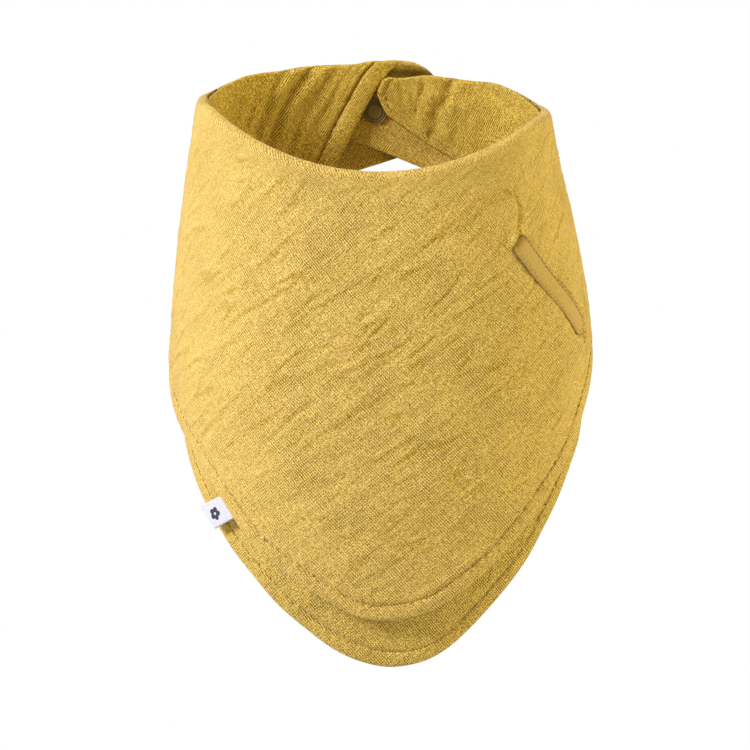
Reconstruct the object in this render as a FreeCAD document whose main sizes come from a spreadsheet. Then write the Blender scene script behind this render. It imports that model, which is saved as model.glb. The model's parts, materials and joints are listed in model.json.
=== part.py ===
import FreeCAD, Part
import math
import os
import Sketcher

# Muslin bandana bib, millimetres.
# Frame: +Z up, front of the bib faces -Y, +X is the left side of the wearer.
# Origin: centre of the neck opening at the height of the front rim.
# In piece names "left" is the -X side and "right" the +X side, as seen from the front.
#
# All cloth lies on one family of surfaces: a super-elliptic tube round the neck and chest.
# skin(deg, z, off) is a point of that family. deg = 0 at the front and positive towards +X,
# off = distance outside the reference skin, which is the outer face of the front layer.

os.makedirs("parts", exist_ok=True)
doc = FreeCAD.newDocument("muslin_bib")
Vector = FreeCAD.Vector

# ---------------------------------------------------------------- driving dimensions
DIMENSIONS = [
    ("muslin_ply", 0.95, "thickness of one double-gauze layer"),
    ("ply_gap", 0.10, "air between the face and the lining of a panel"),
    ("hinge_line_z", -95.0, "height at which the front layer starts to lift"),
    ("line_gap", 0.30, "clearance across the lifting line"),
    ("tail_cut_x", 42.4, "half distance between the two tail roots"),
    ("tail_gap", 0.80, "clearance between a tail root and the yoke"),
    ("tail_rise", 3.50, "how far the overlapping tail stands off the tail under it"),
    ("thread_rad", 0.26, "sewing thread radius"),
    ("thread_off", 0.32, "thread axis above the cloth face"),
    ("seam_rad", 0.22, "neckline seam thread radius"),
    ("tip_lift", 0.14, "extra height of the thread round the point of the bib"),
    ("hem_inset", 5.6, "topstitch distance from a finished edge"),
    ("snap_z", 3.4, "height of the neck snap"),
    ("snap_x", 0.5, "side position of the neck snap"),
    ("spare_x", -20.5, "side position of the spare socket"),
    ("cap_rad", 4.6, "snap cap radius"),
    ("cap_thick", 1.0, "snap cap thickness"),
    ("cap_round", 0.40, "snap cap edge rounding"),
    ("prong_rad", 1.10, "snap prong radius"),
    ("hole_rad", 1.20, "prong hole in the cloth"),
    ("stud_disc_rad", 4.3, "stud flange radius"),
    ("stud_disc", 0.80, "stud flange thickness"),
    ("stud_base_rad", 1.50, "stud nub radius at the flange"),
    ("stud_tip_rad", 1.10, "stud nub radius at the tip"),
    ("stud_nub", 1.50, "stud nub height"),
    ("socket_rad", 4.3, "socket radius"),
    ("socket_thick", 2.00, "socket thickness"),
    ("socket_bore", 1.90, "socket bore radius"),
    ("socket_depth", 1.70, "socket bore depth"),
    ("strap_cap_rad", 3.3, "strap snap radius"),
    ("strap_cap_thick", 0.60, "strap snap cap thickness"),
    ("strap_disc", 0.40, "strap stud flange thickness"),
    ("strap_base_rad", 1.30, "strap stud nub base radius"),
    ("strap_tip_rad", 1.00, "strap stud nub tip radius"),
    ("strap_nub", 0.75, "strap stud nub height"),
    ("strap_socket", 0.95, "strap socket thickness"),
    ("strap_bore", 1.65, "strap socket bore radius"),
    ("strap_depth", 0.70, "strap socket bore depth"),
    ("strap_width", 7.4, "pacifier strap width"),
    ("strap_ply", 0.45, "thickness of one ply of the strap tape"),
    ("label_thick", 0.90, "folded label thickness"),
    ("motif_rad", 0.85, "petal radius of the label motif"),
    ("motif_thick", 0.16, "raised thickness of the label motif"),
]
sheet = doc.addObject("Spreadsheet::Sheet", "Dims")
for row, (alias, value, note) in enumerate(DIMENSIONS, 1):
    sheet.set("A%d" % row, note)
    sheet.set("B%d" % row, repr(float(value)))
    sheet.setAlias("B%d" % row, alias)
doc.recompute()


def dim(alias):
    return float(sheet.get(alias))


PLY = dim("muslin_ply")
PANEL = 2 * PLY + dim("ply_gap")           # full thickness of a two-ply panel
# ply name, distances below the panel's outer face where it starts and ends
PLIES = (("face", 0.0, PLY), ("lining", PLY + dim("ply_gap"), PANEL))
HINGE_Z = dim("hinge_line_z")
HALF_LINE_GAP = dim("line_gap") / 2
TAIL_CUT = dim("tail_cut_x")
YOKE_CUT = TAIL_CUT + dim("tail_gap")
TAIL_RISE = dim("tail_rise")
THREAD_OFF = dim("thread_off")
HEM_INSET = dim("hem_inset")


# ---------------------------------------------------------------- curves
def pchip(stations):
    """Monotone cubic through (x, y) stations, straight beyond both ends."""
    xs, ys = zip(*stations)
    count = len(xs)
    steps = [xs[i + 1] - xs[i] for i in range(count - 1)]
    chords = [(ys[i + 1] - ys[i]) / steps[i] for i in range(count - 1)]
    slopes = [chords[0]] + [0.0] * (count - 2) + [chords[-1]]
    for i in range(1, count - 1):
        if chords[i - 1] * chords[i] > 0:
            before = 2 * steps[i] + steps[i - 1]
            after = steps[i] + 2 * steps[i - 1]
            slopes[i] = (before + after) / (before / chords[i - 1] + after / chords[i])

    def curve(x):
        if x <= xs[0]:
            return ys[0] + slopes[0] * (x - xs[0])
        if x >= xs[-1]:
            return ys[-1] + slopes[-1] * (x - xs[-1])
        i = 0
        while x > xs[i + 1]:
            i += 1
        t = (x - xs[i]) / steps[i]
        return ((1 + 2 * t) * (1 - t) ** 2 * ys[i]
                + t * (1 - t) ** 2 * steps[i] * slopes[i]
                + t * t * (3 - 2 * t) * ys[i + 1]
                + t * t * (t - 1) * steps[i] * slopes[i + 1])
    return curve


def smooth(start, end, x):
    t = min(1.0, max(0.0, (x - start) / (end - start)))
    return t * t * (3 - 2 * t)


def fractions(count):
    return [i / (count - 1.0) for i in range(count)]


def running_length(points):
    lengths = [0.0]
    for before, after in zip(points, points[1:]):
        lengths.append(lengths[-1] + (after - before).Length)
    return lengths


# ---------------------------------------------------------------- surface family
# z, half width towards -X, half width towards +X, depth to the front, depth to the back
SKIN_STATIONS = [
    (-200, 70.5, 75.5, 61.0, 60.0),
    (-150, 72.3, 78.0, 64.0, 60.0),
    (-120, 72.9, 78.8, 64.5, 60.0),
    (-90, 72.8, 78.4, 63.5, 59.5),
    (-60, 71.5, 76.8, 61.0, 57.5),
    (-30, 68.6, 71.4, 57.0, 55.0),
    (0, 64.4, 64.3, 52.0, 54.0),
    (20, 61.5, 61.0, 49.5, 54.0),
]
half_minus_x, half_plus_x, depth_front, depth_back = [
    pchip([(station[0], station[column]) for station in SKIN_STATIONS])
    for column in range(1, 5)]
FRONT_POWER, BACK_POWER = 2.15, 2.5        # super-ellipse exponents


def skin(deg, z, off=0.0):
    cos, sin = math.cos(math.radians(deg)), math.sin(math.radians(deg))
    minus, plus = half_minus_x(z), half_plus_x(z)
    half_width = (minus + plus) / 2 + off
    depth = (depth_front(z) if cos >= 0 else depth_back(z)) + off
    back = 0.5 - 0.5 * math.tanh(cos * 4)
    power = FRONT_POWER * (1 - back) + BACK_POWER * back
    scale = (abs(sin) ** power + abs(cos) ** power) ** (-1.0 / power)
    return Vector((plus - minus) / 2 + half_width * sin * scale, -depth * cos * scale, z)


def normal(deg, z, off=0.0):
    step = math.degrees(1e-3)
    around = skin(deg + step, z, off) - skin(deg - step, z, off)
    upward = skin(deg, z + 0.05, off) - skin(deg, z - 0.05, off)
    direction = around.cross(upward)
    direction.normalize()
    return direction


def back_deg_at_x(x, z):
    """Angle in the back half at which the skin has this x, found by bisection."""
    low, high = 100.0, 260.0
    for _ in range(60):
        middle = (low + high) / 2
        if skin(middle, z).x > x:
            low = middle
        else:
            high = middle
    return (low + high) / 2


# ---------------------------------------------------------------- cloth outlines
# Cosine and sine weights of the 1st to 4th harmonic of the neckline height
RIM_HARMONICS = [(16.216, -2.076), (6.806, 0.19), (4.545, 0.083), (-0.372, 0.0)]


def rim(deg):
    """Height of the neckline, low at the front and high at the back."""
    angle = math.radians(deg)
    return sum(even * (1 - math.cos(k * angle)) / 2 + odd * math.sin(k * angle)
               for k, (even, odd) in enumerate(RIM_HARMONICS, 1))


def dropped_rim(deg):
    """Neckline that sits lower at the back on the +X side, which is lapped over."""
    return rim(deg) - 3.3 * smooth(136, 156, deg) - 2.6 * smooth(158, 172, deg)


# Finished lower edge of the front (upper) layer: degrees, z
upper_edge = pchip([
    (-200, -8.5), (-187, -14.9), (-176, -19.4), (-160, -26), (-140, -38), (-120, -50),
    (-105, -62), (-90, -75), (-75, -90), (-60.2, -101.1), (-50.3, -111.1), (-42, -121.7),
    (-35.5, -130.8), (-28.1, -136.7), (-20.9, -143), (-12.3, -149.5), (-6.5, -153.5),
    (0.9, -154.6), (8.7, -153.2), (14.3, -150.8), (18.5, -147.5), (25.6, -141.1),
    (31.9, -134.8), (36.7, -128.5), (42.3, -122.5), (46.7, -116.3), (52.1, -110.4),
    (57, -104.5), (61.7, -98.6), (67.8, -89.5), (75, -82.5), (90, -70), (105, -57),
    (120, -45), (140, -31), (150, -25), (164, -18.5), (173, -14), (184, -8.8),
    (190, -7.3), (200, -5.5)])
# Finished lower edge of the rear (lower) layer: degrees, z
lower_edge = pchip([
    (-190, -8), (-165, -21), (-150, -30), (-140, -38), (-120, -56), (-105, -71),
    (-90, -87), (-78, -99), (-67.6, -110.9), (-60.9, -117.8), (-56.2, -122.5),
    (-50.9, -128.4), (-44.7, -135.6), (-37.5, -142.9), (-31, -150.5), (-22.5, -158.1),
    (-13.2, -166.1), (-6.1, -169.9), (2.4, -172), (11.3, -170.5), (18.4, -166.5),
    (26.3, -158.6), (33.1, -150.8), (39.7, -143.3), (45.6, -135.8), (50.4, -128.3),
    (56.2, -121), (62.9, -112.6), (67.8, -107.3), (75, -102.2), (90, -85), (105, -67),
    (120, -50), (140, -26), (152, -14.5), (160, -9.5), (167, -4.2), (172, 0), (180, 5)])
# Air between the two layers: z, gap
layer_air = pchip([(-200, 2.7), (-120, 2.5), (-60, 2.0), (-30, 1.7), (0, 0.8), (25, 0.8)])
BACK_AIR = 1.6                             # the same gap at the back
# +X end of the rear layer: fraction from rim to lower edge, degrees
right_end_deg = pchip([(0, 171.0), (0.25, 176.2), (0.5, 177.6), (0.75, 177.2), (1.0, 174.6)])


def left_end_deg(v):
    """Slanted -X end of the rear layer, v = 0 at the rim and 1 at the lower edge."""
    return -188.0 + 23.0 * v


def front_off(deg, z):
    return 0.0


def lower_off(deg, z):
    """Outer face of the rear layer."""
    back = smooth(125, 150, abs(deg))
    return -PANEL - layer_air(z) * (1 - back) - BACK_AIR * back


def left_tail_off(deg, z):
    """Outer face of the left tail, which rises clear of the right tail under it."""
    return (TAIL_RISE + PANEL) * smooth(143, 161, -deg)


# ---------------------------------------------------------------- solid builders
pieces = []


def feature(label, shape):
    piece = doc.addObject("Part::Feature", label)
    piece.Label = label
    piece.Shape = shape
    pieces.append(piece)


def cloth(outer_grid, inner_grid):
    """Solid between two interpolated surfaces, closed by ruled faces."""
    outer, inner = Part.BSplineSurface(), Part.BSplineSurface()
    outer.interpolate(outer_grid)
    inner.interpolate(inner_grid)
    u0, u1, v0, v1 = outer.bounds()
    faces = [outer.toShape(), inner.toShape()]
    borders = [(s.uIso(u).toShape() for s in (outer, inner)) for u in ()]
    borders = ([(outer.uIso(u), inner.uIso(u)) for u in (u0, u1)]
               + [(outer.vIso(v), inner.vIso(v)) for v in (v0, v1)])
    for outer_border, inner_border in borders:
        faces.append(Part.makeRuledSurface(outer_border.toShape(), inner_border.toShape()))
    shell = Part.Shell(faces)
    shell.sewShape()
    # Sewing may wrap the shell in a compound
    if shell.ShapeType != "Shell":
        shell = shell.Shells[0]
    solid = Part.Solid(shell)
    if solid.Volume < 0:
        solid.reverse()
    solid.fix(1e-4, 1e-4, 1e-3)
    return solid


def panel(us, vs, deg_of, z_of, off_of, start, end):
    """Ply on the skin, from depth start to depth end below the outer face."""
    outer_grid, inner_grid = [], []
    for u in us:
        outer_row, inner_row = [], []
        for v in vs:
            deg = deg_of(u, v)
            z = z_of(deg, v)
            off = off_of(deg, z)
            outer_row.append(skin(deg, z, off - start))
            inner_row.append(skin(deg, z, off - end))
        outer_grid.append(outer_row)
        inner_grid.append(inner_row)
    return cloth(outer_grid, inner_grid)


def tube(points, radius):
    curve = Part.BSplineCurve()
    curve.interpolate(points)
    tangent = curve.tangent(curve.FirstParameter)[0]
    profile = Part.Wire([Part.makeCircle(radius, points[0], tangent)])
    pipe = Part.Wire([curve.toShape()]).makePipeShell([profile], True, True)
    if pipe.Volume < 0:
        pipe.reverse()
    return pipe


def box(x0, x1, y0, y1, z0, z1):
    return Part.makeBox(x1 - x0, y1 - y0, z1 - z0, Vector(x0, y0, z0))


def prong_hole(position, direction):
    length = 14
    return Part.makeCylinder(dim("hole_rad"), length, position - direction * (length / 2),
                             direction)


# ---------------------------------------------------------------- snap places
SNAP_Z = dim("snap_z")
snap_pos = skin(back_deg_at_x(dim("snap_x"), SNAP_Z), SNAP_Z)
snap_dir = Vector(0, 1, 0)

# The spare socket sits on the inner face of the left tail and points level
spare_deg = back_deg_at_x(dim("spare_x"), SNAP_Z)
spare_pos = skin(spare_deg, SNAP_Z, TAIL_RISE)
spare_normal = normal(spare_deg, SNAP_Z, TAIL_RISE)
spare_dir = Vector(spare_normal.x, spare_normal.y, 0)
spare_dir.normalize()

# Pacifier strap centre line on the skin, from its top end down: degrees, z
STRAP_LINE = [(42.6, -25.2), (46.2, -31.4), (50.0, -37.8), (53.6, -43.8), (57.4, -49.8),
              (61.2, -55.6), (64.2, -60.2)]
strap_lengths = running_length([skin(deg, z) for deg, z in STRAP_LINE])
strap_deg = pchip([(s, deg) for s, (deg, z) in zip(strap_lengths, STRAP_LINE)])
strap_z = pchip([(s, z) for s, (deg, z) in zip(strap_lengths, STRAP_LINE)])
STRAP_LENGTH = strap_lengths[-1]
STRAP_SNAP_S = STRAP_LENGTH - 5.2
strap_pos = skin(strap_deg(STRAP_SNAP_S), strap_z(STRAP_SNAP_S))
strap_dir = normal(strap_deg(STRAP_SNAP_S), strap_z(STRAP_SNAP_S))


# ---------------------------------------------------------------- cloth panels
def front_layer():
    """Fixed yoke above the hinge line and lifting flap below it."""
    below = box(-200, 200, -200, 200, -300, HINGE_Z + HALF_LINE_GAP)
    above = box(-200, 200, -200, 200, HINGE_Z - HALF_LINE_GAP, 200)
    behind = box(-YOKE_CUT, YOKE_CUT, 5, 120, -80, 60)
    for name, start, end in PLIES:
        full = panel(fractions(61), fractions(13), lambda u, v: -150 + 300 * u,
                     lambda deg, v: rim(deg) + v * (upper_edge(deg) - rim(deg)),
                     front_off, start, end)
        yoke = full.cut(below).cut(behind).cut(prong_hole(strap_pos, strap_dir))
        flap = full.cut(above)
        for label, part in (("upper_yoke_", yoke), ("upper_flap_", flap)):
            feature(label + name, part.Solids[0] if len(part.Solids) == 1 else part)


def rear_layer():
    """One ring of cloth with its two ends at the back."""
    def deg_of(u, v):
        left = left_end_deg(v)
        return left + u * (right_end_deg(v) - left)

    def z_of(deg, v):
        return dropped_rim(deg) + v * (lower_edge(deg) - dropped_rim(deg))

    for name, start, end in PLIES:
        feature("lower_panel_" + name,
                panel(fractions(73), fractions(15), deg_of, z_of, lower_off, start, end))


def tail(side, end_deg, round_deg, off_of, start, end):
    """Ply of a back tail with a rounded end; side is -1 towards -X, 1 towards +X."""
    root_deg = 128.0
    # Rows crowd towards both edges, where the end curves most
    vs = [(1 - math.cos(math.pi * i / 12.0)) / 2 for i in range(13)]

    def deg_of(u, v):
        tip_deg = end_deg - round_deg * (1 - math.sqrt(max(0.0, 1 - (2 * v - 1) ** 2)))
        return side * (root_deg + u * (tip_deg - root_deg))

    def z_of(deg, v):
        top = dropped_rim(deg) - 0.2
        return top + v * (upper_edge(deg) - top)

    return panel(fractions(25), vs, deg_of, z_of, off_of, start, end)


def back_tails():
    left_keep = box(-TAIL_CUT, 200, 5, 200, -80, 60)
    right_keep = box(-200, TAIL_CUT, 5, 200, -80, 60)
    for name, start, end in PLIES:
        left = tail(-1, 198, 8, left_tail_off, start, end)
        left = left.common(left_keep).cut(prong_hole(snap_pos, snap_dir))
        left = left.cut(prong_hole(spare_pos, spare_dir))
        feature("left_tail_" + name, left.Solids[0])
        right = tail(1, 193.5, 7, front_off, start, end)
        right = right.common(right_keep).cut(prong_hole(snap_pos, snap_dir))
        feature("right_tail_" + name, right.Solids[0])


# ---------------------------------------------------------------- topstitching
# Arc length round the skin at one height, zero at the front, stands for distance along an edge
ARC_Z = -90.0
arc_degs = [float(deg) for deg in range(-200, 201, 2)]
arc_lengths = running_length([skin(deg, ARC_Z) for deg in arc_degs])
front_length = arc_lengths[arc_degs.index(0.0)]
arc_of_deg = pchip([(deg, s - front_length) for deg, s in zip(arc_degs, arc_lengths)])
deg_of_arc = pchip([(s - front_length, deg) for deg, s in zip(arc_degs, arc_lengths)])


def inset(edge, degs, distance):
    """Curve parallel to a finished edge and above it, as (degrees, z)."""
    line = []
    half_step = 0.6
    for deg in degs:
        run = arc_of_deg(deg + half_step) - arc_of_deg(deg - half_step)
        slope = (edge(deg + half_step) - edge(deg - half_step)) / run
        stretch = math.sqrt(1 + slope * slope)
        line.append((deg_of_arc(arc_of_deg(deg) - slope / stretch * distance),
                     edge(deg) + distance / stretch))
    return line


def runs_where(line, keep):
    """Unbroken runs of more than three points that pass the test."""
    runs, current = [], []
    for point in line:
        if keep(point):
            current.append(point)
        elif current:
            runs.append(current)
            current = []
    if current:
        runs.append(current)
    return [run for run in runs if len(run) > 3]


def thread(line, off_of, lift=THREAD_OFF):
    """Sewing thread along (degrees, z), lifted from the surface off_of."""
    return tube([skin(deg, z, off_of(deg, z) + lift) for deg, z in line], dim("thread_rad"))


def front_topstitch():
    hinge_clear = 1.2
    root_clear = 1.0

    def on_yoke(point):
        place = skin(*point)
        in_tail_zone = abs(place.x) < YOKE_CUT + root_clear and place.y > 0
        return point[1] > HINGE_Z + hinge_clear and not in_tail_zone

    flap_line = inset(upper_edge, [i / 2.0 for i in range(-292, 293, 3)], HEM_INSET)
    flap_runs = runs_where(flap_line, lambda point: point[1] < HINGE_Z - hinge_clear)
    feature("flap_topstitch", Part.makeCompound(
        [thread(run, front_off, THREAD_OFF + dim("tip_lift")) for run in flap_runs]))
    yoke_line = inset(upper_edge, range(-146, 147, 3), HEM_INSET)
    feature("yoke_topstitch", Part.makeCompound(
        [thread(run, front_off) for run in runs_where(yoke_line, on_yoke)]))


def rear_topstitch():
    line = inset(lower_edge, range(-150, 151, 3), HEM_INSET)
    feature("lower_topstitch", Part.makeCompound([thread(line, lower_off)]))


def inner_end_topstitch():
    """Stitching along both ends of the rear layer, on the face that touches the neck."""
    left_top = dropped_rim(-180)
    left = [(left_end_deg(v) + 7.4, left_top + v * (lower_edge(-170) - left_top))
            for v in fractions(9)][1:-1]
    right_top = dropped_rim(172)
    right = [(173.2 - 2.2 * (2 * v - 1) ** 2,
              right_top + (0.16 + 0.64 * v) * (lower_edge(172) - right_top))
             for v in fractions(5)]
    feature("inner_end_topstitch", Part.makeCompound(
        [thread(line, lower_off, -PANEL - THREAD_OFF) for line in (left, right)]))


def tail_topstitch():
    root_clear = 1.0
    left = [point for point in inset(upper_edge, range(-192, -138, 3), HEM_INSET)
            if skin(*point).x > -TAIL_CUT + root_clear]
    right = [point for point in inset(upper_edge, range(139, 190, 3), 4.0)
             if skin(*point).x < TAIL_CUT - root_clear]
    feature("left_tail_topstitch", thread(left, left_tail_off))
    feature("right_tail_topstitch", thread(right, front_off))


def neckline_seam():
    """Hidden seam that joins the two layers, midway in the air between them."""
    line = [(deg, rim(deg) - 6.0) for deg in range(-120, 121, 5)]
    feature("neckline_seam_thread", tube(
        [skin(deg, z, -PANEL - layer_air(z) / 2) for deg, z in line], dim("seam_rad")))


# ---------------------------------------------------------------- snaps
def finish(piece, label, position, direction, along):
    """Name a snap part and set its base on the axis, with its +Z along the direction."""
    piece.Label = label
    piece.Placement = FreeCAD.Placement(position + direction * along,
                                        FreeCAD.Rotation(Vector(0, 0, 1), direction))
    pieces.append(piece)


def circle_sketch(body, name, radius):
    sketch = body.newObject("Sketcher::SketchObject", name)
    plane = next(f for f in body.Origin.OriginFeatures if f.Role == "XY_Plane")
    sketch.AttachmentSupport = [(plane, "")]
    sketch.MapMode = "FlatFace"
    sketch.addGeometry(Part.Circle(Vector(0, 0, 0), Vector(0, 0, 1), 2.0), False)
    sketch.addConstraint(Sketcher.Constraint("Coincident", 0, 3, -1, 1))
    sketch.addConstraint(Sketcher.Constraint("Radius", 0, 2.0))
    sketch.setExpression("Constraints[1]", "Dims." + radius)
    return sketch


def cap(label, position, direction, along, prong, radius="cap_rad", thick="cap_thick"):
    """Disc with a rounded rim at +Z and a prong of the given length towards -Z."""
    body = doc.addObject("PartDesign::Body", label)
    disc = body.newObject("PartDesign::Pad", label + "_pad")
    disc.Profile = circle_sketch(body, label + "_disc", radius)
    disc.setExpression("Length", "Dims." + thick)
    doc.recompute()
    prong_sketch = circle_sketch(body, label + "_prong_sketch", "prong_rad")
    prong_pad = body.newObject("PartDesign::Pad", label + "_prong")
    prong_pad.Profile = prong_sketch
    prong_pad.Length = prong
    prong_pad.Reversed = True
    doc.recompute()
    for i, edge in enumerate(prong_pad.Shape.Edges, 1):
        bounds = edge.BoundBox
        if max(abs(z - dim(thick)) for z in (bounds.ZMin, bounds.ZMax)) < 1e-6:
            rim_edge = "Edge%d" % i
    fillet = body.newObject("PartDesign::Fillet", label + "_fillet")
    fillet.Base = (prong_pad, [rim_edge])
    fillet.setExpression("Radius", "Dims.cap_round")
    body.Tip = fillet
    finish(body, label, position, direction, along)


def cylinder(name, radius, height):
    solid = doc.addObject("Part::Cylinder", name)
    solid.setExpression("Radius", "Dims." + radius)
    solid.setExpression("Height", "Dims." + height)
    return solid


def stud(label, position, direction, along, radius, disc, base, tip, nub):
    """Flange with a tapered nub, sunk 0.1 into it."""
    cone = doc.addObject("Part::Cone", label + "_nub")
    cone.setExpression("Radius1", "Dims." + base)
    cone.setExpression("Radius2", "Dims." + tip)
    cone.setExpression("Height", "Dims." + nub + " + 0.1")
    cone.setExpression(".Placement.Base.z", "Dims." + disc + " - 0.1")
    fuse = doc.addObject("Part::Fuse", label)
    fuse.Base = cylinder(label + "_flange", radius, disc)
    fuse.Tool = cone
    finish(fuse, label, position, direction, along)


def socket(label, position, direction, along, radius="socket_rad", thick="socket_thick",
           bore="socket_bore", depth="socket_depth"):
    """Ring with a blind bore that opens at its base."""
    bore_tool = cylinder(label + "_bore", bore, depth + " + 1")
    bore_tool.setExpression(".Placement.Base.z", "-1")
    cut = doc.addObject("Part::Cut", label)
    cut.Base = cylinder(label + "_ring", radius, thick)
    cut.Tool = bore_tool
    finish(cut, label, position, direction, along)


STUD_CLEAR = 0.08                          # stud flange above the cloth
STUD_CAP_CLEAR = 0.25                      # stud cap beyond the panel's inner face
SOCKET_CAP_CLEAR = 0.10                    # socket cap above the left tail
STUD_PRONG = 2.18                          # prong length of a stud cap


def neck_snaps():
    cap("neck_stud_cap", snap_pos, snap_dir * -1, PANEL + STUD_CAP_CLEAR, prong=STUD_PRONG)
    stud("neck_stud", snap_pos, snap_dir, STUD_CLEAR, radius="stud_disc_rad",
         disc="stud_disc", base="stud_base_rad", tip="stud_tip_rad", nub="stud_nub")
    socket("neck_socket", snap_pos, snap_dir, 1.25)
    cap("neck_socket_cap", snap_pos, snap_dir, TAIL_RISE + PANEL + SOCKET_CAP_CLEAR,
        prong=2.2)
    socket("spare_socket", spare_pos, spare_dir, -0.56 - dim("socket_thick"))
    cap("spare_socket_cap", spare_pos, spare_dir, PANEL + SOCKET_CAP_CLEAR, prong=2.45)


def strap_snap():
    """Stud on the front layer, socket under the strap."""
    cap("strap_stud_cap", strap_pos, strap_dir * -1, PANEL + STUD_CAP_CLEAR,
        prong=STUD_PRONG, radius="strap_cap_rad", thick="strap_cap_thick")
    stud("strap_stud", strap_pos, strap_dir, STUD_CLEAR, radius="strap_cap_rad",
         disc="strap_disc", base="strap_base_rad", tip="strap_tip_rad", nub="strap_nub")
    socket("strap_socket", strap_pos, strap_dir, 0.66, radius="strap_cap_rad",
           thick="strap_socket", bore="strap_bore", depth="strap_depth")


# ---------------------------------------------------------------- pacifier strap
STRAP_PLY = dim("strap_ply")
STRAP_PLY_GAP = 0.05
STRAP_TOP = 2 * STRAP_PLY + STRAP_PLY_GAP
STRAP_TAPER = 4.2                          # length of the narrowing lower end


def strap_half_width(s):
    taper = max(0.0, (s - STRAP_LENGTH + STRAP_TAPER) / STRAP_TAPER)
    return dim("strap_width") / 2 * (1 - taper ** 2.4 * 0.55)


def strap_point_at(s):
    """Function of (sideways, height) that gives points of the strap at length s."""
    deg, z = strap_deg(s), strap_z(s)
    centre = skin(deg, z)
    outward = normal(deg, z)
    ahead = skin(strap_deg(s + 0.5), strap_z(s + 0.5)) - centre
    ahead = ahead - outward * ahead.dot(outward)
    ahead.normalize()
    side = ahead.cross(outward)
    # The strap climbs from the cloth to the top of its snap
    lift = 0.30 + 1.58 * smooth(0.30 * STRAP_LENGTH, 0.76 * STRAP_LENGTH, s)

    def point(sideways, height):
        # The sag follows the roundness of the chest across the strap
        sag = sideways * sideways / 120.0
        return centre + side * sideways + outward * (lift + height - sag)
    return point


def strap_ply(bottom, top):
    outer_grid, inner_grid = [], []
    for fraction in fractions(22):
        s = STRAP_LENGTH * fraction
        point = strap_point_at(s)
        across = [(j / 3.0 - 1.0) * strap_half_width(s) for j in range(7)]
        outer_grid.append([point(sideways, top) for sideways in across])
        inner_grid.append([point(sideways, bottom) for sideways in across])
    return cloth(outer_grid, inner_grid)


def strap():
    feature("strap_backing", strap_ply(0.0, STRAP_PLY))
    feature("strap_tape", strap_ply(STRAP_PLY + STRAP_PLY_GAP, STRAP_TOP))
    edge_inset = 0.9
    stations = [1.0 + (STRAP_LENGTH - 3.2) * fraction for fraction in fractions(14)]
    threads = []
    for side in (-1, 1):
        points = [strap_point_at(s)(side * (strap_half_width(s) - edge_inset),
                                    STRAP_TOP + 0.24) for s in stations]
        threads.append(tube(points, 0.18))
    feature("strap_edge_stitch", Part.makeCompound(threads))


# ---------------------------------------------------------------- folded label
# Corners as (degrees, z): u runs along each pair, v from the first pair to the second
LABEL_NEAR = ((-47.4, -115.9), (-42.3, -122.6))
LABEL_FAR = ((-55.2, -120.6), (-48.9, -127.4))
LABEL_INNER = -1.45                        # offset of the label's inner face
LABEL_OUTER = LABEL_INNER + dim("label_thick")
PETAL_PITCH_RAD = 1.25


def label_point(u, v, off):
    near, far = [[start + (end - start) * u for start, end in zip(*pair)]
                 for pair in (LABEL_NEAR, LABEL_FAR)]
    return skin(near[0] + (far[0] - near[0]) * v, near[1] + (far[1] - near[1]) * v, off)


def label_tape():
    outer_grid, inner_grid = [
        [[label_point(u, v, off) for v in fractions(5)] for u in fractions(6)]
        for off in (LABEL_OUTER, LABEL_INNER)]
    feature("label_tape", cloth(outer_grid, inner_grid))


def label_motif():
    """Four round petals on the outer face of the label."""
    centre = label_point(0.5, 0.52, LABEL_OUTER)
    outward = (label_point(0.52, 0.52, LABEL_OUTER) - centre).cross(
        label_point(0.5, 0.54, LABEL_OUTER) - centre)
    outward.normalize()
    if outward.dot(Vector(-0.7, -0.7, 0)) < 0:
        outward = outward * -1
    along = label_point(0.6, 0.52, LABEL_OUTER) - label_point(0.4, 0.52, LABEL_OUTER)
    along.normalize()
    across = outward.cross(along)
    petals = []
    for k in range(4):
        angle = math.radians(45 + 90 * k)
        base = (centre + along * (PETAL_PITCH_RAD * math.cos(angle))
                + across * (PETAL_PITCH_RAD * math.sin(angle)) + outward * 0.06)
        petals.append(Part.makeCylinder(dim("motif_rad"), dim("motif_thick"), base, outward))
    feature("label_motif", Part.makeCompound(petals))


# ---------------------------------------------------------------- build, check and export
for build in (front_layer, rear_layer, back_tails, front_topstitch, rear_topstitch,
              inner_end_topstitch, tail_topstitch, neckline_seam, neck_snaps, strap_snap,
              strap, label_tape, label_motif):
    build()
doc.recompute()

faults = ["%s %s" % (item.Name, item.State) for item in doc.Objects
          if "Invalid" in item.State or "Error" in item.State]
faults += ["%s: bad shape" % piece.Label for piece in pieces
           if piece.Shape.isNull() or not piece.Shape.isValid() or piece.Shape.Volume <= 0]
if faults:
    raise RuntimeError("; ".join(faults))
for piece in pieces:
    piece.Shape.exportStep("parts/%s.step" % piece.Label)
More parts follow.
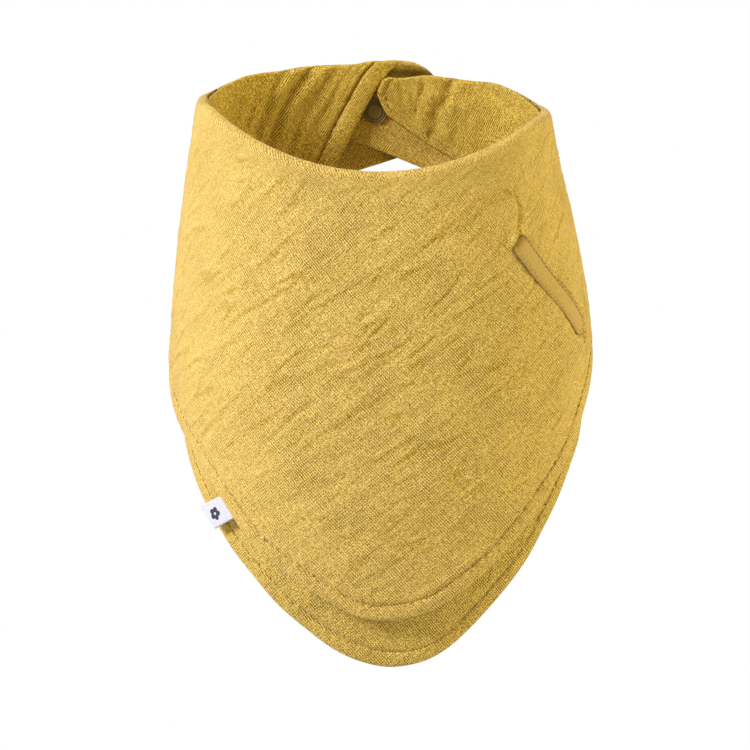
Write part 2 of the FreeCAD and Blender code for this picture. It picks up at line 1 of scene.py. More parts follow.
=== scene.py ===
# Muslin bandana bib: fabric, stitches, snaps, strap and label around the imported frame.
import sys
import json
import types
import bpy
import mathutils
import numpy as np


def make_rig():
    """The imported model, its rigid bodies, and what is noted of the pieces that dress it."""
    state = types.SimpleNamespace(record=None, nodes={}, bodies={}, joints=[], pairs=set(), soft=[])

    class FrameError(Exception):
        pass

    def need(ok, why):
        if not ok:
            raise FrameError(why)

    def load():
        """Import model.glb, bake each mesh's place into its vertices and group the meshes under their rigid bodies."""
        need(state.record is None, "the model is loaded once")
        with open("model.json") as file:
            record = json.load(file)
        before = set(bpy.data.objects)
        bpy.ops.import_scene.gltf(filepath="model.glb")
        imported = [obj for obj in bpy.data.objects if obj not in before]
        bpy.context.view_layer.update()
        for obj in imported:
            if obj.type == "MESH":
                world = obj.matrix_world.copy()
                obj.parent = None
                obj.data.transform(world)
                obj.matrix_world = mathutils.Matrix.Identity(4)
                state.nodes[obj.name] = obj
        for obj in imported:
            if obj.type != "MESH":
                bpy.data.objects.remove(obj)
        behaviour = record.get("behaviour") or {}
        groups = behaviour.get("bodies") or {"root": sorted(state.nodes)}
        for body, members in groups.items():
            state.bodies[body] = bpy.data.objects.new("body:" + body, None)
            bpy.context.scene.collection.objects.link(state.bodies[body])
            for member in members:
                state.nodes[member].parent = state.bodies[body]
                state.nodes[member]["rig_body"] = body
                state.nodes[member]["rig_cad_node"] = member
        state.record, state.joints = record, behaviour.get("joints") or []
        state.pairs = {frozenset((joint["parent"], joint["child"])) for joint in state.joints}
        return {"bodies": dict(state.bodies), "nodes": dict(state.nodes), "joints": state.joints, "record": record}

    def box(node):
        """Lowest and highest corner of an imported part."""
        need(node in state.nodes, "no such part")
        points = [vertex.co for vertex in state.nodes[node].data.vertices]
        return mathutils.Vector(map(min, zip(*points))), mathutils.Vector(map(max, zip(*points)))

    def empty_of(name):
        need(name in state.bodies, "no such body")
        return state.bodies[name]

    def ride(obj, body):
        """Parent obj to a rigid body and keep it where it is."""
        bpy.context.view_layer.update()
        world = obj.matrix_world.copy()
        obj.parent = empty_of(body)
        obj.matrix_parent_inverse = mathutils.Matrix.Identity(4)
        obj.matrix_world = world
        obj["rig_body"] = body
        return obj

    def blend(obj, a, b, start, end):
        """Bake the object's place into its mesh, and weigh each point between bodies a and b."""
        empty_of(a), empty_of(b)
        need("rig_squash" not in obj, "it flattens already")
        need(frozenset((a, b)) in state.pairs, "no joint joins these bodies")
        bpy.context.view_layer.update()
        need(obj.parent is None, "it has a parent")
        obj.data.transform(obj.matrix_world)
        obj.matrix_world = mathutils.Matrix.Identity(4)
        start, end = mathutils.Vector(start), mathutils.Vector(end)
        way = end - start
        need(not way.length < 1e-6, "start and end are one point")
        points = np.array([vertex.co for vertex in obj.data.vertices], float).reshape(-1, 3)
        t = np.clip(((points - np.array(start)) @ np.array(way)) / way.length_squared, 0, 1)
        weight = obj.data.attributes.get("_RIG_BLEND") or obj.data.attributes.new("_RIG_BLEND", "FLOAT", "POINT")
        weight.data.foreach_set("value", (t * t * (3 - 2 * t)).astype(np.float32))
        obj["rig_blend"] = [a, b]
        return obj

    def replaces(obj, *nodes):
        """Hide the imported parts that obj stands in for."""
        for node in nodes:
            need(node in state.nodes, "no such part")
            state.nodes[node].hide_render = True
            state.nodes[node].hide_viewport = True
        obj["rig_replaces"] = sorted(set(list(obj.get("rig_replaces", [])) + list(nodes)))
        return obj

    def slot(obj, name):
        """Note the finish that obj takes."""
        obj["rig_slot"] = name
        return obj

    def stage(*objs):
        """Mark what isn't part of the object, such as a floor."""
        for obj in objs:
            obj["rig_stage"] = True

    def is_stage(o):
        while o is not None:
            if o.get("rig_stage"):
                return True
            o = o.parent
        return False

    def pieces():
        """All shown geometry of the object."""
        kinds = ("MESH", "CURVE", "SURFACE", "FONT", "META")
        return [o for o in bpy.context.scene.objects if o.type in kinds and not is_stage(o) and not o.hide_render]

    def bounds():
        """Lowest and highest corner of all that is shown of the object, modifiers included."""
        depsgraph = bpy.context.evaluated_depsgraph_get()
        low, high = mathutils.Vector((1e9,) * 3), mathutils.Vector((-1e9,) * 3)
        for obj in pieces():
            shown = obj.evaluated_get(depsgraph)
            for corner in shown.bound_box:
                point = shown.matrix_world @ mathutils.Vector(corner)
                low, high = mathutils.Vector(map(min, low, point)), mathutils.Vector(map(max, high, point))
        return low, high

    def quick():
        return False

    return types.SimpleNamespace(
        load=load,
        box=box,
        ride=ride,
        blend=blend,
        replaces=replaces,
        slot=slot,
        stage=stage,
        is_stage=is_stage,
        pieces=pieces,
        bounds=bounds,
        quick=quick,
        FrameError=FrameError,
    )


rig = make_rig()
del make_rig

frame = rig.load()
CAD_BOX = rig.bounds()

import json
import math
import bpy
import bmesh
import numpy as np
from mathutils import Vector, Matrix
from mathutils.bvhtree import BVHTree

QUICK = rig.quick()
MM = 0.001
REC = frame["record"]
PI = math.pi


# ------------------------------------------------------------------ surface family (same as the CAD)
def pchip(xs, ys):
    n = len(xs)
    h = [xs[i + 1] - xs[i] for i in range(n - 1)]
    d = [(ys[i + 1] - ys[i]) / h[i] for i in range(n - 1)]
    m = [d[0]] + [0.0] * (n - 2) + [d[-1]]
    for i in range(1, n - 1):
        if d[i - 1] * d[i] > 0:
            w1 = 2 * h[i] + h[i - 1]
            w2 = h[i] + 2 * h[i - 1]
            m[i] = (w1 + w2) / (w1 / d[i - 1] + w2 / d[i])

    def f(x):
        if x <= xs[0]:
            return ys[0] + m[0] * (x - xs[0])
        if x >= xs[-1]:
            return ys[-1] + m[-1] * (x - xs[-1])
        i = 0
        while x > xs[i + 1]:
            i += 1
        t = (x - xs[i]) / h[i]
        return ((1 + 2 * t) * (1 - t) ** 2 * ys[i] + t * (1 - t) ** 2 * h[i] * m[i]
                + t * t * (3 - 2 * t) * ys[i + 1] + t * t * (t - 1) * h[i] * m[i + 1])
    return f


def table(f, lo, hi, n):
    xs = np.linspace(lo, hi, n)
    ys = np.array([f(float(x)) for x in xs])
    return lambda x: np.interp(x, xs, ys)


ZL = [-200, -150, -120, -90, -60, -30, 0, 20]
HALF_L = table(pchip(ZL, [70.5, 72.3, 72.9, 72.8, 71.5, 68.6, 64.4, 61.5]), -230, 45, 551)
HALF_R = table(pchip(ZL, [75.5, 78.0, 78.8, 78.4, 76.8, 71.4, 64.3, 61.0]), -230, 45, 551)
DEEP_F = table(pchip(ZL, [61.0, 64.0, 64.5, 63.5, 61.0, 57.0, 52.0, 49.5]), -230, 45, 551)
DEEP_B = table(pchip(ZL, [60.0, 60.0, 60.0, 59.5, 57.5, 55.0, 54.0, 54.0]), -230, 45, 551)
AIR = table(pchip([-200, -120, -60, -30, 0, 25], [2.7, 2.5, 2.0, 1.7, 0.8, 0.8]), -230, 45, 551)

UPPER = table(pchip(
    [-200, -187, -176, -160, -140, -120, -105, -90, -75, -60.2, -50.3, -42, -35.5, -28.1, -20.9,
     -12.3, -6.5, 0.9, 8.7, 14.3, 18.5, 25.6, 31.9, 36.7, 42.3, 46.7, 52.1, 57, 61.7, 67.8, 75, 90,
     105, 120, 140, 150, 164, 173, 184, 190, 200],
    [-8.5, -14.9, -19.4, -26, -38, -50, -62, -75, -90, -101.1, -111.1, -121.7, -130.8, -136.7,
     -143, -149.5, -153.5, -154.6, -153.2, -150.8, -147.5, -141.1, -134.8, -128.5, -122.5, -116.3,
     -110.4, -104.5, -98.6, -89.5, -82.5, -70, -57, -45, -31, -25, -18.5, -14, -8.8, -7.3, -5.5]),
    -205, 205, 1641)
LOWER = table(pchip(
    [-190, -165, -150, -140, -120, -105, -90, -78, -67.6, -60.9, -56.2, -50.9, -44.7, -37.5, -31,
     -22.5, -13.2, -6.1, 2.4, 11.3, 18.4, 26.3, 33.1, 39.7, 45.6, 50.4, 56.2, 62.9, 67.8, 75, 90,
     105, 120, 140, 152, 160, 167, 172, 180],
    [-8, -21, -30, -38, -56, -71, -87, -99, -110.9, -117.8, -122.5, -128.4, -135.6, -142.9,
     -150.5, -158.1, -166.1, -169.9, -172, -170.5, -166.5, -158.6, -150.8, -143.3, -135.8, -128.3,
     -121, -112.6, -107.3, -102.2, -85, -67, -50, -26, -14.5, -9.5, -4.2, 0, 5]), -205, 205, 1641)
# light smoothing of the two edge tables, so that hems run in clean curves
for _name in ("UPPER", "LOWER"):
    _f = globals()[_name]
    _x = np.linspace(-205, 205, 1641)
    _y = _f(_x)
    _k = np.exp(-0.5 * (np.arange(-24, 25) / 9.0) ** 2)
    _k /= _k.sum()
    _p = np.concatenate([np.full(24, _y[0]), _y, np.full(24, _y[-1])])
    _s = np.convolve(_p, _k, "valid")
    globals()[_name] = (lambda xs, ys: (lambda x: np.interp(x, xs, ys)))(_x, _s)


def smooth(a, b, x):
    t = np.clip((x - a) / (b - a), 0.0, 1.0)
    return t * t * (3 - 2 * t)


# the finished hem is a padded fold, so it stands a little past the nominal edge round the point
_low0 = LOWER
LOWER = lambda deg: _low0(deg) - 1.35 * (1 - smooth(62, 92, np.abs(deg)))


def rim(deg):
    th = np.radians(deg)
    return (16.216 * (1 - np.cos(th)) / 2 - 2.076 * np.sin(th)
            + 6.806 * (1 - np.cos(2 * th)) / 2 + 0.19 * np.sin(2 * th)
            + 4.545 * (1 - np.cos(3 * th)) / 2 + 0.083 * np.sin(3 * th)
            - 0.372 * (1 - np.cos(4 * th)) / 2)


def right_drop(deg):
    return 3.3 * smooth(136, 156, deg) + 2.6 * smooth(158, 172, deg)


def skin(deg, z, off):
    """points in mm; deg, z, off broadcast"""
    deg, z, off = np.broadcast_arrays(np.asarray(deg, float), np.asarray(z, float),
                                      np.asarray(off, float))
    th = np.radians(deg)
    al, ar = HALF_L(z), HALF_R(z)
    a = (al + ar) / 2 + off
    c, s = np.cos(th), np.sin(th)
    b = np.where(c >= 0, DEEP_F(z), DEEP_B(z)) + off
    w = 0.5 - 0.5 * np.tanh(c * 4)
    n = 2.15 * (1 - w) + 2.5 * w
    k = (np.abs(s) ** n + np.abs(c) ** n) ** (-1.0 / n)
    return np.stack([(ar - al) / 2 + a * s * k, -b * c * k, z], -1)


# arc length round the chest, used as the cloth's own coordinate
_dg = np.linspace(-205, 205, 1641)
_pt = skin(_dg, -60.0, 0.0)
_sl = np.concatenate([[0], np.cumsum(np.linalg.norm(np.diff(_pt, axis=0), axis=1))])
_sl -= np.interp(0.0, _dg, _sl)


def S(deg):
    return np.interp(deg, _dg, _sl)


def DEG(s):
    return np.interp(s, _sl, _dg)


# ------------------------------------------------------------------ seeded noise
def _hash(ix, iy, seed):
    m = np.int64(0xffffffff)
    h = (ix.astype(np.int64) * 374761393 + iy.astype(np.int64) * 668265263 + seed * 1442695041) & m
    h = ((h ^ (h >> 13)) * 1274126177) & m
    h = (h ^ (h >> 16)) & m
    return h.astype(float) * (2 * PI / 4294967296.0)


def noise(x, y, seed=0):
    """gradient noise, about -0.7..0.7"""
    x, y = np.broadcast_arrays(np.asarray(x, float), np.asarray(y, float))
    ix, iy = np.floor(x), np.floor(y)
    fx, fy = x - ix, y - iy
    ux = fx * fx * fx * (fx * (fx * 6 - 15) + 10)
    uy = fy * fy * fy * (fy * (fy * 6 - 15) + 10)

    def g(dx, dy):
        a = _hash(ix + dx, iy + dy, seed)
        return np.cos(a) * (fx - dx) + np.sin(a) * (fy - dy)
    a = g(0, 0) * (1 - ux) + g(1, 0) * ux
    b = g(0, 1) * (1 - ux) + g(1, 1) * ux
    return a * (1 - uy) + b * uy


# direction of the main crinkle: rises to the viewer's right, flatter at the sides
_phi = 35.0 + 4.0 * smooth(15, 55, -_dg) - 5.0 * smooth(70, 120, np.abs(_dg))
_g = np.concatenate([[0], np.cumsum(np.tan(np.radians((_phi[1:] + _phi[:-1]) / 2)) * np.diff(_sl))])
_g -= np.interp(0.0, _dg, _g)


def across(s, z):
    """distance across the main ridges, and distance along them, in mm"""
    ph = np.radians(np.interp(s, _sl, _phi))
    q = (z - np.interp(s, _sl, _g)) * np.cos(ph)
    return q, s / np.cos(ph)


def wander(s, z, seed):
    q, r = across(s, z)
    q = q + 1.6 * noise(r / 20.0, q / 12.0, seed + 1) + 0.8 * noise(r / 7.5, q / 5.5, seed + 2)
    return q, r


def crinkle(s, z, seed=0):
    """height of the double-gauze crinkle, mm"""
    q, r = wander(s, z, seed)
    mod = 0.85 + 0.75 * noise(s / 27.0, z / 25.0, seed + 21)
    mid = np.exp(-((s + 6.0) / 45.0) ** 2 - ((z + 55.0) / 55.0) ** 2)
    h = 0.22 * noise(q / 5.6, r / 40.0, seed + 3)
    h = h + (0.50 + 0.40 * mid) * mod * noise(q / 3.7, r / 26.0, seed + 4)
    h = h + 0.20 * mod * noise(q / 2.05, r / 13.0, seed + 5)
    h = h + 0.22 * noise(q / 1.35, r / 5.0, seed + 7)
    # creases that cross the ridges the other way, in patches
    q2 = (z + s * 0.98) * 0.714
    r2 = (z - s * 0.98) * 0.714
    q2 = q2 + 1.2 * noise(r2 / 14.0, q2 / 9.0, seed + 11)
    patch = np.clip(0.45 + 1.5 * noise(s / 34.0 + 5.0, z / 30.0, seed + 12) + 0.0030 * s, 0.05, 1.2)
    h = h + patch * (0.22 * noise(q2 / 3.0, r2 / 12.0, seed + 13) + 0.20 * noise(q2 / 1.6, r2 / 6.0, seed + 14))
    return h


def creases(s, z, seed=0):
    """wiggly pinched lines that run along the ridges: 1 in the valley, negative on the crest beside it. Besides shaping
    the cloth, the mask paints shade into the valley's colour and a painted highlight on the crest beside it
    """
    q, r = wander(s, z, seed)
    q = q + 0.50 * noise(r / 2.8, q / 2.8, seed + 6) + 0.22 * noise(r / 1.5, q / 1.7, seed + 8)
    core = 0.50 + 0.62 * np.exp(-((s + 8.0) / 42.0) ** 2 - ((z + 52.0) / 50.0) ** 2)
    m = smooth(-0.10, 0.20, noise(q / 7.5 + 3.0, r / 19.0, seed + 52))
    m2 = smooth(0.02, 0.30, noise(q / 6.0 + 1.0, r / 14.0, seed + 54))

    def lines(qq):
        w = noise(qq / 5.6, r / 36.0, seed + 51)
        w2 = noise(qq / 3.6 + 9.0, r / 20.0, seed + 53)
        return np.exp(-(w / 0.075) ** 2) * m + 0.40 * np.exp(-(w2 / 0.09) ** 2) * m2
    return np.clip(core * (np.clip(lines(q), 0, 1) - 0.60 * np.clip(lines(q - 1.3), 0, 1)), -0.7, 1.1)


def deeper(cz, x):
    return np.where(x > 0.02, np.maximum(cz, x), cz)


# ------------------------------------------------------------------ mesh helpers
def new_mesh(name, verts, faces, attr=None, smooth_shade=True):
    me = bpy.data.meshes.new(name)
    verts = np.asarray(verts, float) * MM
    faces = np.asarray(faces, np.int64)
    me.vertices.add(len(verts))
    me.vertices.foreach_set("co", verts.astype(np.float32).ravel())
    k = faces.shape[1]
    me.loops.add(len(faces) * k)
    me.loops.foreach_set("vertex_index", faces.astype(np.int32).ravel())
    me.polygons.add(len(faces))
    me.polygons.foreach_set("loop_start", np.arange(0, len(faces) * k, k, dtype=np.int32))
    me.polygons.foreach_set("loop_total", np.full(len(faces), k, dtype=np.int32))
    me.update(calc_edges=True)
    me.validate()
    if smooth_shade:
        me.polygons.foreach_set("use_smooth", np.ones(len(me.polygons), dtype=bool))
    if attr is not None:
        for key, val in attr.items():
            val = np.array(val, np.float32)
            if key == "cloth_shade":
                # painted shade: fold.R carries the painted crease, tuck and gap shade (negative for painted highlights
                # on crests), fold.G flags inner faces for painted shade
                fold = np.zeros((len(val), 3), np.float32)
                fold[:, 0] = val[:, 2]
                fold[:, 1] = val[:, 3]
                val = val[:, :3].copy()
                b = me.attributes.new("fold", "FLOAT_VECTOR", "POINT")
                b.data.foreach_set("vector", fold.ravel())
                val[:, 2] = 0.0
                key = "cloth"
            a = me.attributes.new(key, "FLOAT_VECTOR", "POINT")
            a.data.foreach_set("vector", val.ravel())
    ob = bpy.data.objects.new(name, me)
    bpy.context.scene.collection.objects.link(ob)
    return ob


def grid_faces(nu, nv, base=0, wrap_v=False, flip=False):
    u = np.arange(nu - 1)[:, None]
    v = np.arange(nv if wrap_v else nv - 1)[None, :]
    v1 = (v + 1) % nv
    a = base + u * nv + v
    b = base + (u + 1) * nv + v
    c = base + (u + 1) * nv + v1
    d = base + u * nv + v1
    f = np.stack([a, b, c, d], -1).reshape(-1, 4)
    return f[:, ::-1] if flip else f


def smooth_rows(dists):
    return np.array(dists, float)


# hem spacing measured from the finished edge, mm
HEM_ROWS = np.array([0, .06, .2, .4, .65, .95, 1.3, 1.7, 2.15, 2.65, 3.2, 3.75, 4.25, 4.65, 4.95, 5.2,
                     5.4, 5.6, 5.8, 6.0, 6.25, 6.55, 6.95, 7.4, 7.9])
HEM = 5.6


def slope_cos(edge, deg):
    h = 1.5
    tz = (edge(deg + h) - edge(deg - h)) / (S(deg + h) - S(deg - h))
    return 1.0 / np.sqrt(1 + tz * tz)


def rows_for(length, edge_cos, n_mid, rows=HEM_ROWS):
    """distance from the top for every row of every column: even rows, then the hem rows.
    length, edge_cos: arrays over columns. Returns (ncol, nrow)."""
    hem = rows[None, ::-1] / edge_cos[:, None]
    top = length[:, None] - hem[:, :1]
    even = top * np.linspace(0, 1, n_mid, endpoint=False)[None, :]
    return np.concatenate([even, length[:, None] - hem], 1)


def hem_profile(d, s, half=1.0, stitched=True):
    """outer height added near a finished edge: padded band, stitch groove. d from the edge, mm"""
    band = 0.37 * np.sin(PI * np.clip(d / HEM, 0, 1)) ** 0.8
    groove = -0.52 * np.exp(-((d - HEM) / 0.55) ** 2)
    groove = groove * (0.5 + 0.5 * smooth(-58, -18, s))
    after = 0.16 * np.exp(-((d - HEM - 1.9) / 1.1) ** 2)
    return band + (groove + after if stitched else 0.0)


def round_edge(d, r):
    t = np.clip(d / r, 0, 1)
    return np.sqrt(np.clip(1 - (1 - t) ** 2, 0, 1))


def pucker(s, d, seed):
    """short ripples that the sewing pulls across the hem band"""
    w = np.exp(-((d - 4.4) / 2.6) ** 2)
    p = noise(s / 2.4, d / 9.0, seed) + 0.6 * noise(s / 1.3, d / 7.0, seed + 1)
    return 0.34 * w * p


# ------------------------------------------------------------------ seat of the pacifier strap in the front layer
SEAT_A = (float(S(42.6)), -25.2)
SEAT_B = (float(S(64.2)), -60.2)
SLIT_FOLD = [(-0.4, 0.6), (2.7, 7.1), (4.3, 11.6), (3.0, 14.8), (-1.7, 17.0)]


def seat(s, z):
    """height the cloth rises beside the strap, and a mask of painted shade: at the tuck of its sewn top, down the
    crease above it and in the gap along the strap's shadowed side
    """
    ax, az = SEAT_A
    ux, uz = SEAT_B[0] - ax, SEAT_B[1] - az
    ln = math.hypot(ux, uz)
    ux, uz = ux / ln, uz / ln
    t = (s - ax) * ux + (z - az) * uz
    xs = (s - ax) * uz - (z - az) * ux
    x = np.abs(xs)
    x = x + 3.0 * np.clip((t - ln + 3.0) / 3.6, 0, 1) ** 2
    rise = smooth(0.25 * ln, 0.70 * ln, t) * (1 - smooth(ln + 1.0, ln + 13.0, t))
    lip = rise * (1.35 * smooth(2.4, 3.3, x) + 1.05 * smooth(3.6, 4.05, x)) * np.exp(-(np.maximum(x - 4.4, 0) / 9.0) ** 2)
    # the tape goes down into the cloth at the top
    t0 = (s - ax) * ux + (z - az) * uz
    x0 = np.abs((s - ax) * uz - (z - az) * ux)
    mouth = np.exp(-((t0 + 1.2) / 1.6) ** 2) * (1 - smooth(3.4, 4.8, x0))
    cover = 1.5 * np.exp(-((t0 + 1.7) / 1.25) ** 2) * (1 - smooth(3.0, 5.4, x0))
    # painted shade at the tuck, where the tape goes under the cloth
    tuck = np.exp(-((t0 + 0.4) / 1.1) ** 2) * (1 - smooth(2.6, 4.2, x0))
    # soft crease that runs up from the tuck: a groove in the cloth, and painted shade in its colour
    d = np.full(np.shape(s), 99.0)
    pts = [(ax + a, az + b) for a, b in SLIT_FOLD]
    for (x1, z1), (x2, z2) in zip(pts[:-1], pts[1:]):
        l2 = (x2 - x1) ** 2 + (z2 - z1) ** 2
        k = np.clip(((s - x1) * (x2 - x1) + (z - z1) * (z2 - z1)) / l2, 0, 1)
        d = np.minimum(d, np.hypot(s - x1 - k * (x2 - x1), z - z1 - k * (z2 - z1)))
    groove = np.exp(-(d / 0.75) ** 2)
    puff = np.exp(-((d - 2.2) / 1.3) ** 2)
    # painted shadow in the gap along the strap's shadowed side
    near_edge = rise * np.exp(-((x - 3.95) / 0.3) ** 2) * (xs < 0) * (1 - smooth(ln - 2.2, ln + 0.2, t))
    return lip + cover - 0.45 * groove + 0.22 * puff, np.clip(1.5 * tuck + 0.75 * groove + 0.5 * near_edge, 0, 1.6)


# ------------------------------------------------------------------ front layer (one sheet, hooked over the rim)
N_ROLL = 15
HOOK_DEPTH = 0.6


def hook_amount(deg):
    return 1.0 - smooth(92, 126, np.abs(deg))


def left_rise(deg):
    return 3.5 * smooth(143, 161, -deg)


def front_sheet(name, deg_cols, kind, n_mid_out, n_mid_in, end_deg=None, end_round=None):
    """kind: 'front', 'left', 'right'. deg_cols: u positions in degrees at mid height (signed)."""
    deg0 = np.asarray(deg_cols, float)
    ncol = len(deg0)

    def top_z(deg):
        t = rim(deg) - (right_drop(deg) if kind == "right" else 0.0) + 0.35
        # past the rolled part the neck layer covers this edge from inside
        t = t - 1.5 * smooth(96, 130, np.abs(deg)) * (1 - smooth(172, 184, -deg)) * (1 - 0.9 * smooth(146, 154, deg))
        # the rolled edge settles where the ring turns sharply at both sides
        turn = smooth(64, 90, np.abs(deg)) * (1 - smooth(112, 136, np.abs(deg)))
        return t - turn * np.where(deg > 0, 3.2, 3.0) + 1.0 * smooth(180, 188, -deg)

    def build(n_mid, side):
        # side +1 outer, -1 inner. First pass with straight columns to get v, second with bent end
        L = (top_z(deg0) - UPPER(deg0))
        ec = slope_cos(UPPER, deg0)
        W = rows_for(L, ec, n_mid)
        V = W / L[:, None]
        if end_deg is None:
            D = np.repeat(deg0[:, None], V.shape[1], 1)
            dend = np.full(D.shape, 99.0)
        else:
            start = abs(deg0[0])
            u = (np.abs(deg0) - start) / (np.abs(deg0[-1]) - start)
            vv = np.clip(2 * V - 1, -1, 1)
            # rounded free end of the tail
            e = end_deg - end_round * (1 - np.sqrt(np.clip(1 - np.abs(vv) ** (4.5 if kind == "left" else 2.6), 0, 1)))
            D = np.sign(deg0[0]) * (start + u[:, None] * (e - start))
            dend = (e - np.abs(D)) * 0.98
        Z1 = UPPER(D)
        T = top_z(D)
        Lc = T - Z1
        Wc = V * Lc
        dedge = (Lc - Wc) * np.repeat(ec[:, None], V.shape[1], 1)
        return D, Z1, T, Wc, dedge, dend

    def place(D, T, W, dedge, dend, side, roll):
        """roll: not used; it stands for (ncol, nroll) arc positions < 0 over the rim and down the inside. W >= 0 below
        """
        hk = hook_amount(D)
        rr = 1.35 * hk + 0.30 * (1 - hk)
        near = 1 - smooth(1.5, 11.0, W)
        half = 1.0 - 0.26 * near
        return hk, rr, near, half

    s_out = []
    out_v, out_attr, rows = [], [], None
    for side, n_mid in ((1, n_mid_out), (-1, n_mid_in)):
        D, Z1, T, W, dedge, dend = build(n_mid, side)
        hk, rr, near, half = place(D, T, W, dedge, dend, side, None)
        base = left_rise(D) + 2.0 * smooth(143, 161, -D) if kind == "left" else np.zeros_like(D)
        if kind == "left":
            base = base - 2.3 * smooth(175, 184, -D) * (1 - smooth(0.5, 7.5, W))
        s, zc = S(D), T - W
        fade = smooth(0.0, 6.0, W) * 0.75 + 0.25
        hemf = 0.35 + 0.65 * smooth(3.0, 9.0, dedge)
        endf = 0.35 + 0.65 * smooth(2.0, 8.0, dend)
        cr0 = crinkle(s, zc, 40) * fade * hemf * endf
        if side > 0:
            cz = creases(s, zc, 40) * fade * endf * smooth(5.0, 9.0, dedge)
            disp = 0.30 * cr0 - 0.36 * cz
            if kind == "front":
                lift_, dark_ = seat(s, zc)
                disp = disp + lift_
                # the strap seat's painted shade joins the crease mask that darkens the colour
                cz = deeper(cz, dark_)
            disp += hem_profile(dedge, s) * (1 - smooth(0, 4, 6 - dend) * 0.5)
            disp += pucker(s, dedge, 71)
            if end_deg is not None:
                disp += 0.3 * np.sin(PI * np.clip(dend / HEM, 0, 1)) - 0.45 * np.exp(-((dend - HEM) / 0.55) ** 2) * smooth(6, 9, dedge) * smooth(5, 7, W)
        else:
            # inner faces of the tails are flagged for painted shade on their colour
            inside = 0.0 if kind == "front" else 1.5
            cz = creases(s, zc, 140) * fade * endf * smooth(5.0, 9.0, dedge)
            if kind == "left":
                # deep shade where this layer stands behind the closure
                cz = deeper(cz, 1.5 * smooth(176, 186, -D) * smooth(20.5, 17.0, zc))
            disp = 0.12 * crinkle(s, zc, 140) * fade * hemf * endf - 0.2 * cz
        # the crinkle bends the whole ply, with large soft waves
        wave = 0.32 * noise(s / 44.0 + 2.0, zc / 50.0, 90) * smooth(4, 25, W) + 0.42 * cr0
        edge_r = np.minimum(round_edge(dedge, 1.25), round_edge(np.maximum(dend, 0), 1.25))
        # the rounded top edge of the parts that are not hooked over the rim
        top_r = round_edge(W + 0.0, 1.0) * (1 - hk) + hk
        th = half * edge_r * top_r
        off = base - half + wave + side * (th + np.maximum(disp, -0.75 * half) * edge_r * top_r)
        P = skin(D, zc, off)
        if side > 0:
            # roll over the rim: circle of radius rr about (off_c, z_c), then down the inside
            nroll = N_ROLL
            t = np.linspace(0, 1, nroll, endpoint=False)[None, :]
            Dr, Tr = D[:, :1], T[:, :1]
            hk0, rr0 = hook_amount(Dr), (1.35 * hook_amount(Dr) + 0.02)
            half0 = 0.74
            total = PI * rr0 + HOOK_DEPTH
            arc = -total * (1 - t)           # from the inner end (-total) to 0 at the outer side
            ang = np.clip(-arc / rr0, 0, PI)
            down = np.maximum(0.0, -arc - PI * rr0)
            oc = base[:, :1] - half0 - rr0
            zc0 = Tr - rr0 - half0
            om = oc + rr0 * np.cos(ang)
            zm = zc0 + rr0 * np.sin(ang) - down
            no, nz = np.cos(ang), np.sin(ang)
            tip = round_edge(total + arc + 1e-6, 1.1)
            crr = 0.22 * crinkle(S(Dr) + 0 * arc, zm, 40)
            tho = half0 * tip
            ro = om + no * (tho + crr * tip)
            rz = zm + nz * (tho + crr * tip)
            roll_out = (Dr + 0 * arc, rz, ro)
            ri = om - no * half0 * tip * 0.9
            rzi = zm - nz * half0 * tip * 0.9
            roll_in = (Dr + 0 * arc, rzi, ri)
            # rows of the outer face start where the roll ends
            shift = zc0 - Tr
            mixw = 1 - smooth(0.0, 9.0, W)
            zc_h = zc + shift * mixw * 1.0
            P_h = skin(D, zc_h, off)
            hook_w = hk
            P = P_h * hook_w[..., None] + P * (1 - hook_w[..., None])
            Pr_out = skin(*roll_out)
            Pr_in = skin(*roll_in)
            # where there is no hook the roll collapses on to the top row
            top_pt = P[:, :1, :]
            h0 = hk0[..., None]
            Pr_out = Pr_out * h0 + top_pt * (1 - h0)
            keep_top = top_pt
            store = (Pr_in, h0, shift)
            out_v.append(np.concatenate([Pr_out, P], 1))
            out_attr.append(np.concatenate([
                np.stack([S(Dr) + 0 * arc, Tr + 0 * arc + (-arc) * 1.0, 0 * arc, 0 * arc], -1),
                np.stack([s, zc, cz, 0 * cz], -1)], 1))
        else:
            Pr_in, h0, shift = store
            mixw = 1 - smooth(0.0, 9.0, W)
            P_h = skin(D, zc + shift * mixw, off)
            hk_ = hk[..., None]
            P = P_h * hk_ + P * (1 - hk_)
            Pin = Pr_in * h0 + P[:, :1, :] * (1 - h0)
            out_v.append(np.concatenate([Pin, P], 1))
            z0 = np.zeros((ncol, N_ROLL))
            out_attr.append(np.concatenate([
                np.stack([S(D[:, :1]) + z0, T[:, :1] + z0, z0, z0 + inside], -1),
                np.stack([s, zc, cz, 0 * cz + inside], -1)], 1))
    A, B = out_v
    # closed loop per column: outer from the hook tip to the hem, then the inner back to the hook tip
    loop = np.concatenate([A, B[:, ::-1][:, 1:-1]], 1)
    att = np.concatenate([out_attr[0], out_attr[1][:, ::-1][:, 1:-1]], 1)
    n = loop.shape[1]
    faces = grid_faces(ncol, n, wrap_v=True)
    ob = new_mesh(name, loop.reshape(-1, 3), faces, {"cloth_shade": att.reshape(-1, 4)})
    orient_out(ob)
    return ob


def orient_out(ob):
    bm = bmesh.new()
    bm.from_mesh(ob.data)
    bmesh.ops.remove_doubles(bm, verts=bm.verts, dist=2e-6)
    bmesh.ops.recalc_face_normals(bm, faces=bm.faces)
    bm.to_mesh(ob.data)
    bm.free()
    ob.data.update()


# ------------------------------------------------------------------ rear layer: ring with two free ends
END_R = table(pchip([0, 0.08, 0.25, 0.45, 0.72, 1.0], [174.4, 176.8, 178.0, 178.9, 177.7, 174.6]), 0, 1, 101)


def left_end(v):
    """edge of the left end; it curls over towards the closure at the top"""
    return -188.0 + 23.0 * v - 2.6 * np.clip(1 - v / 0.20, 0, 1) ** 2


def lower_off(deg, z):
    back = smooth(125, 150, np.abs(deg))
    return -2.0 - AIR(z) * (1 - back) - 1.6 * back


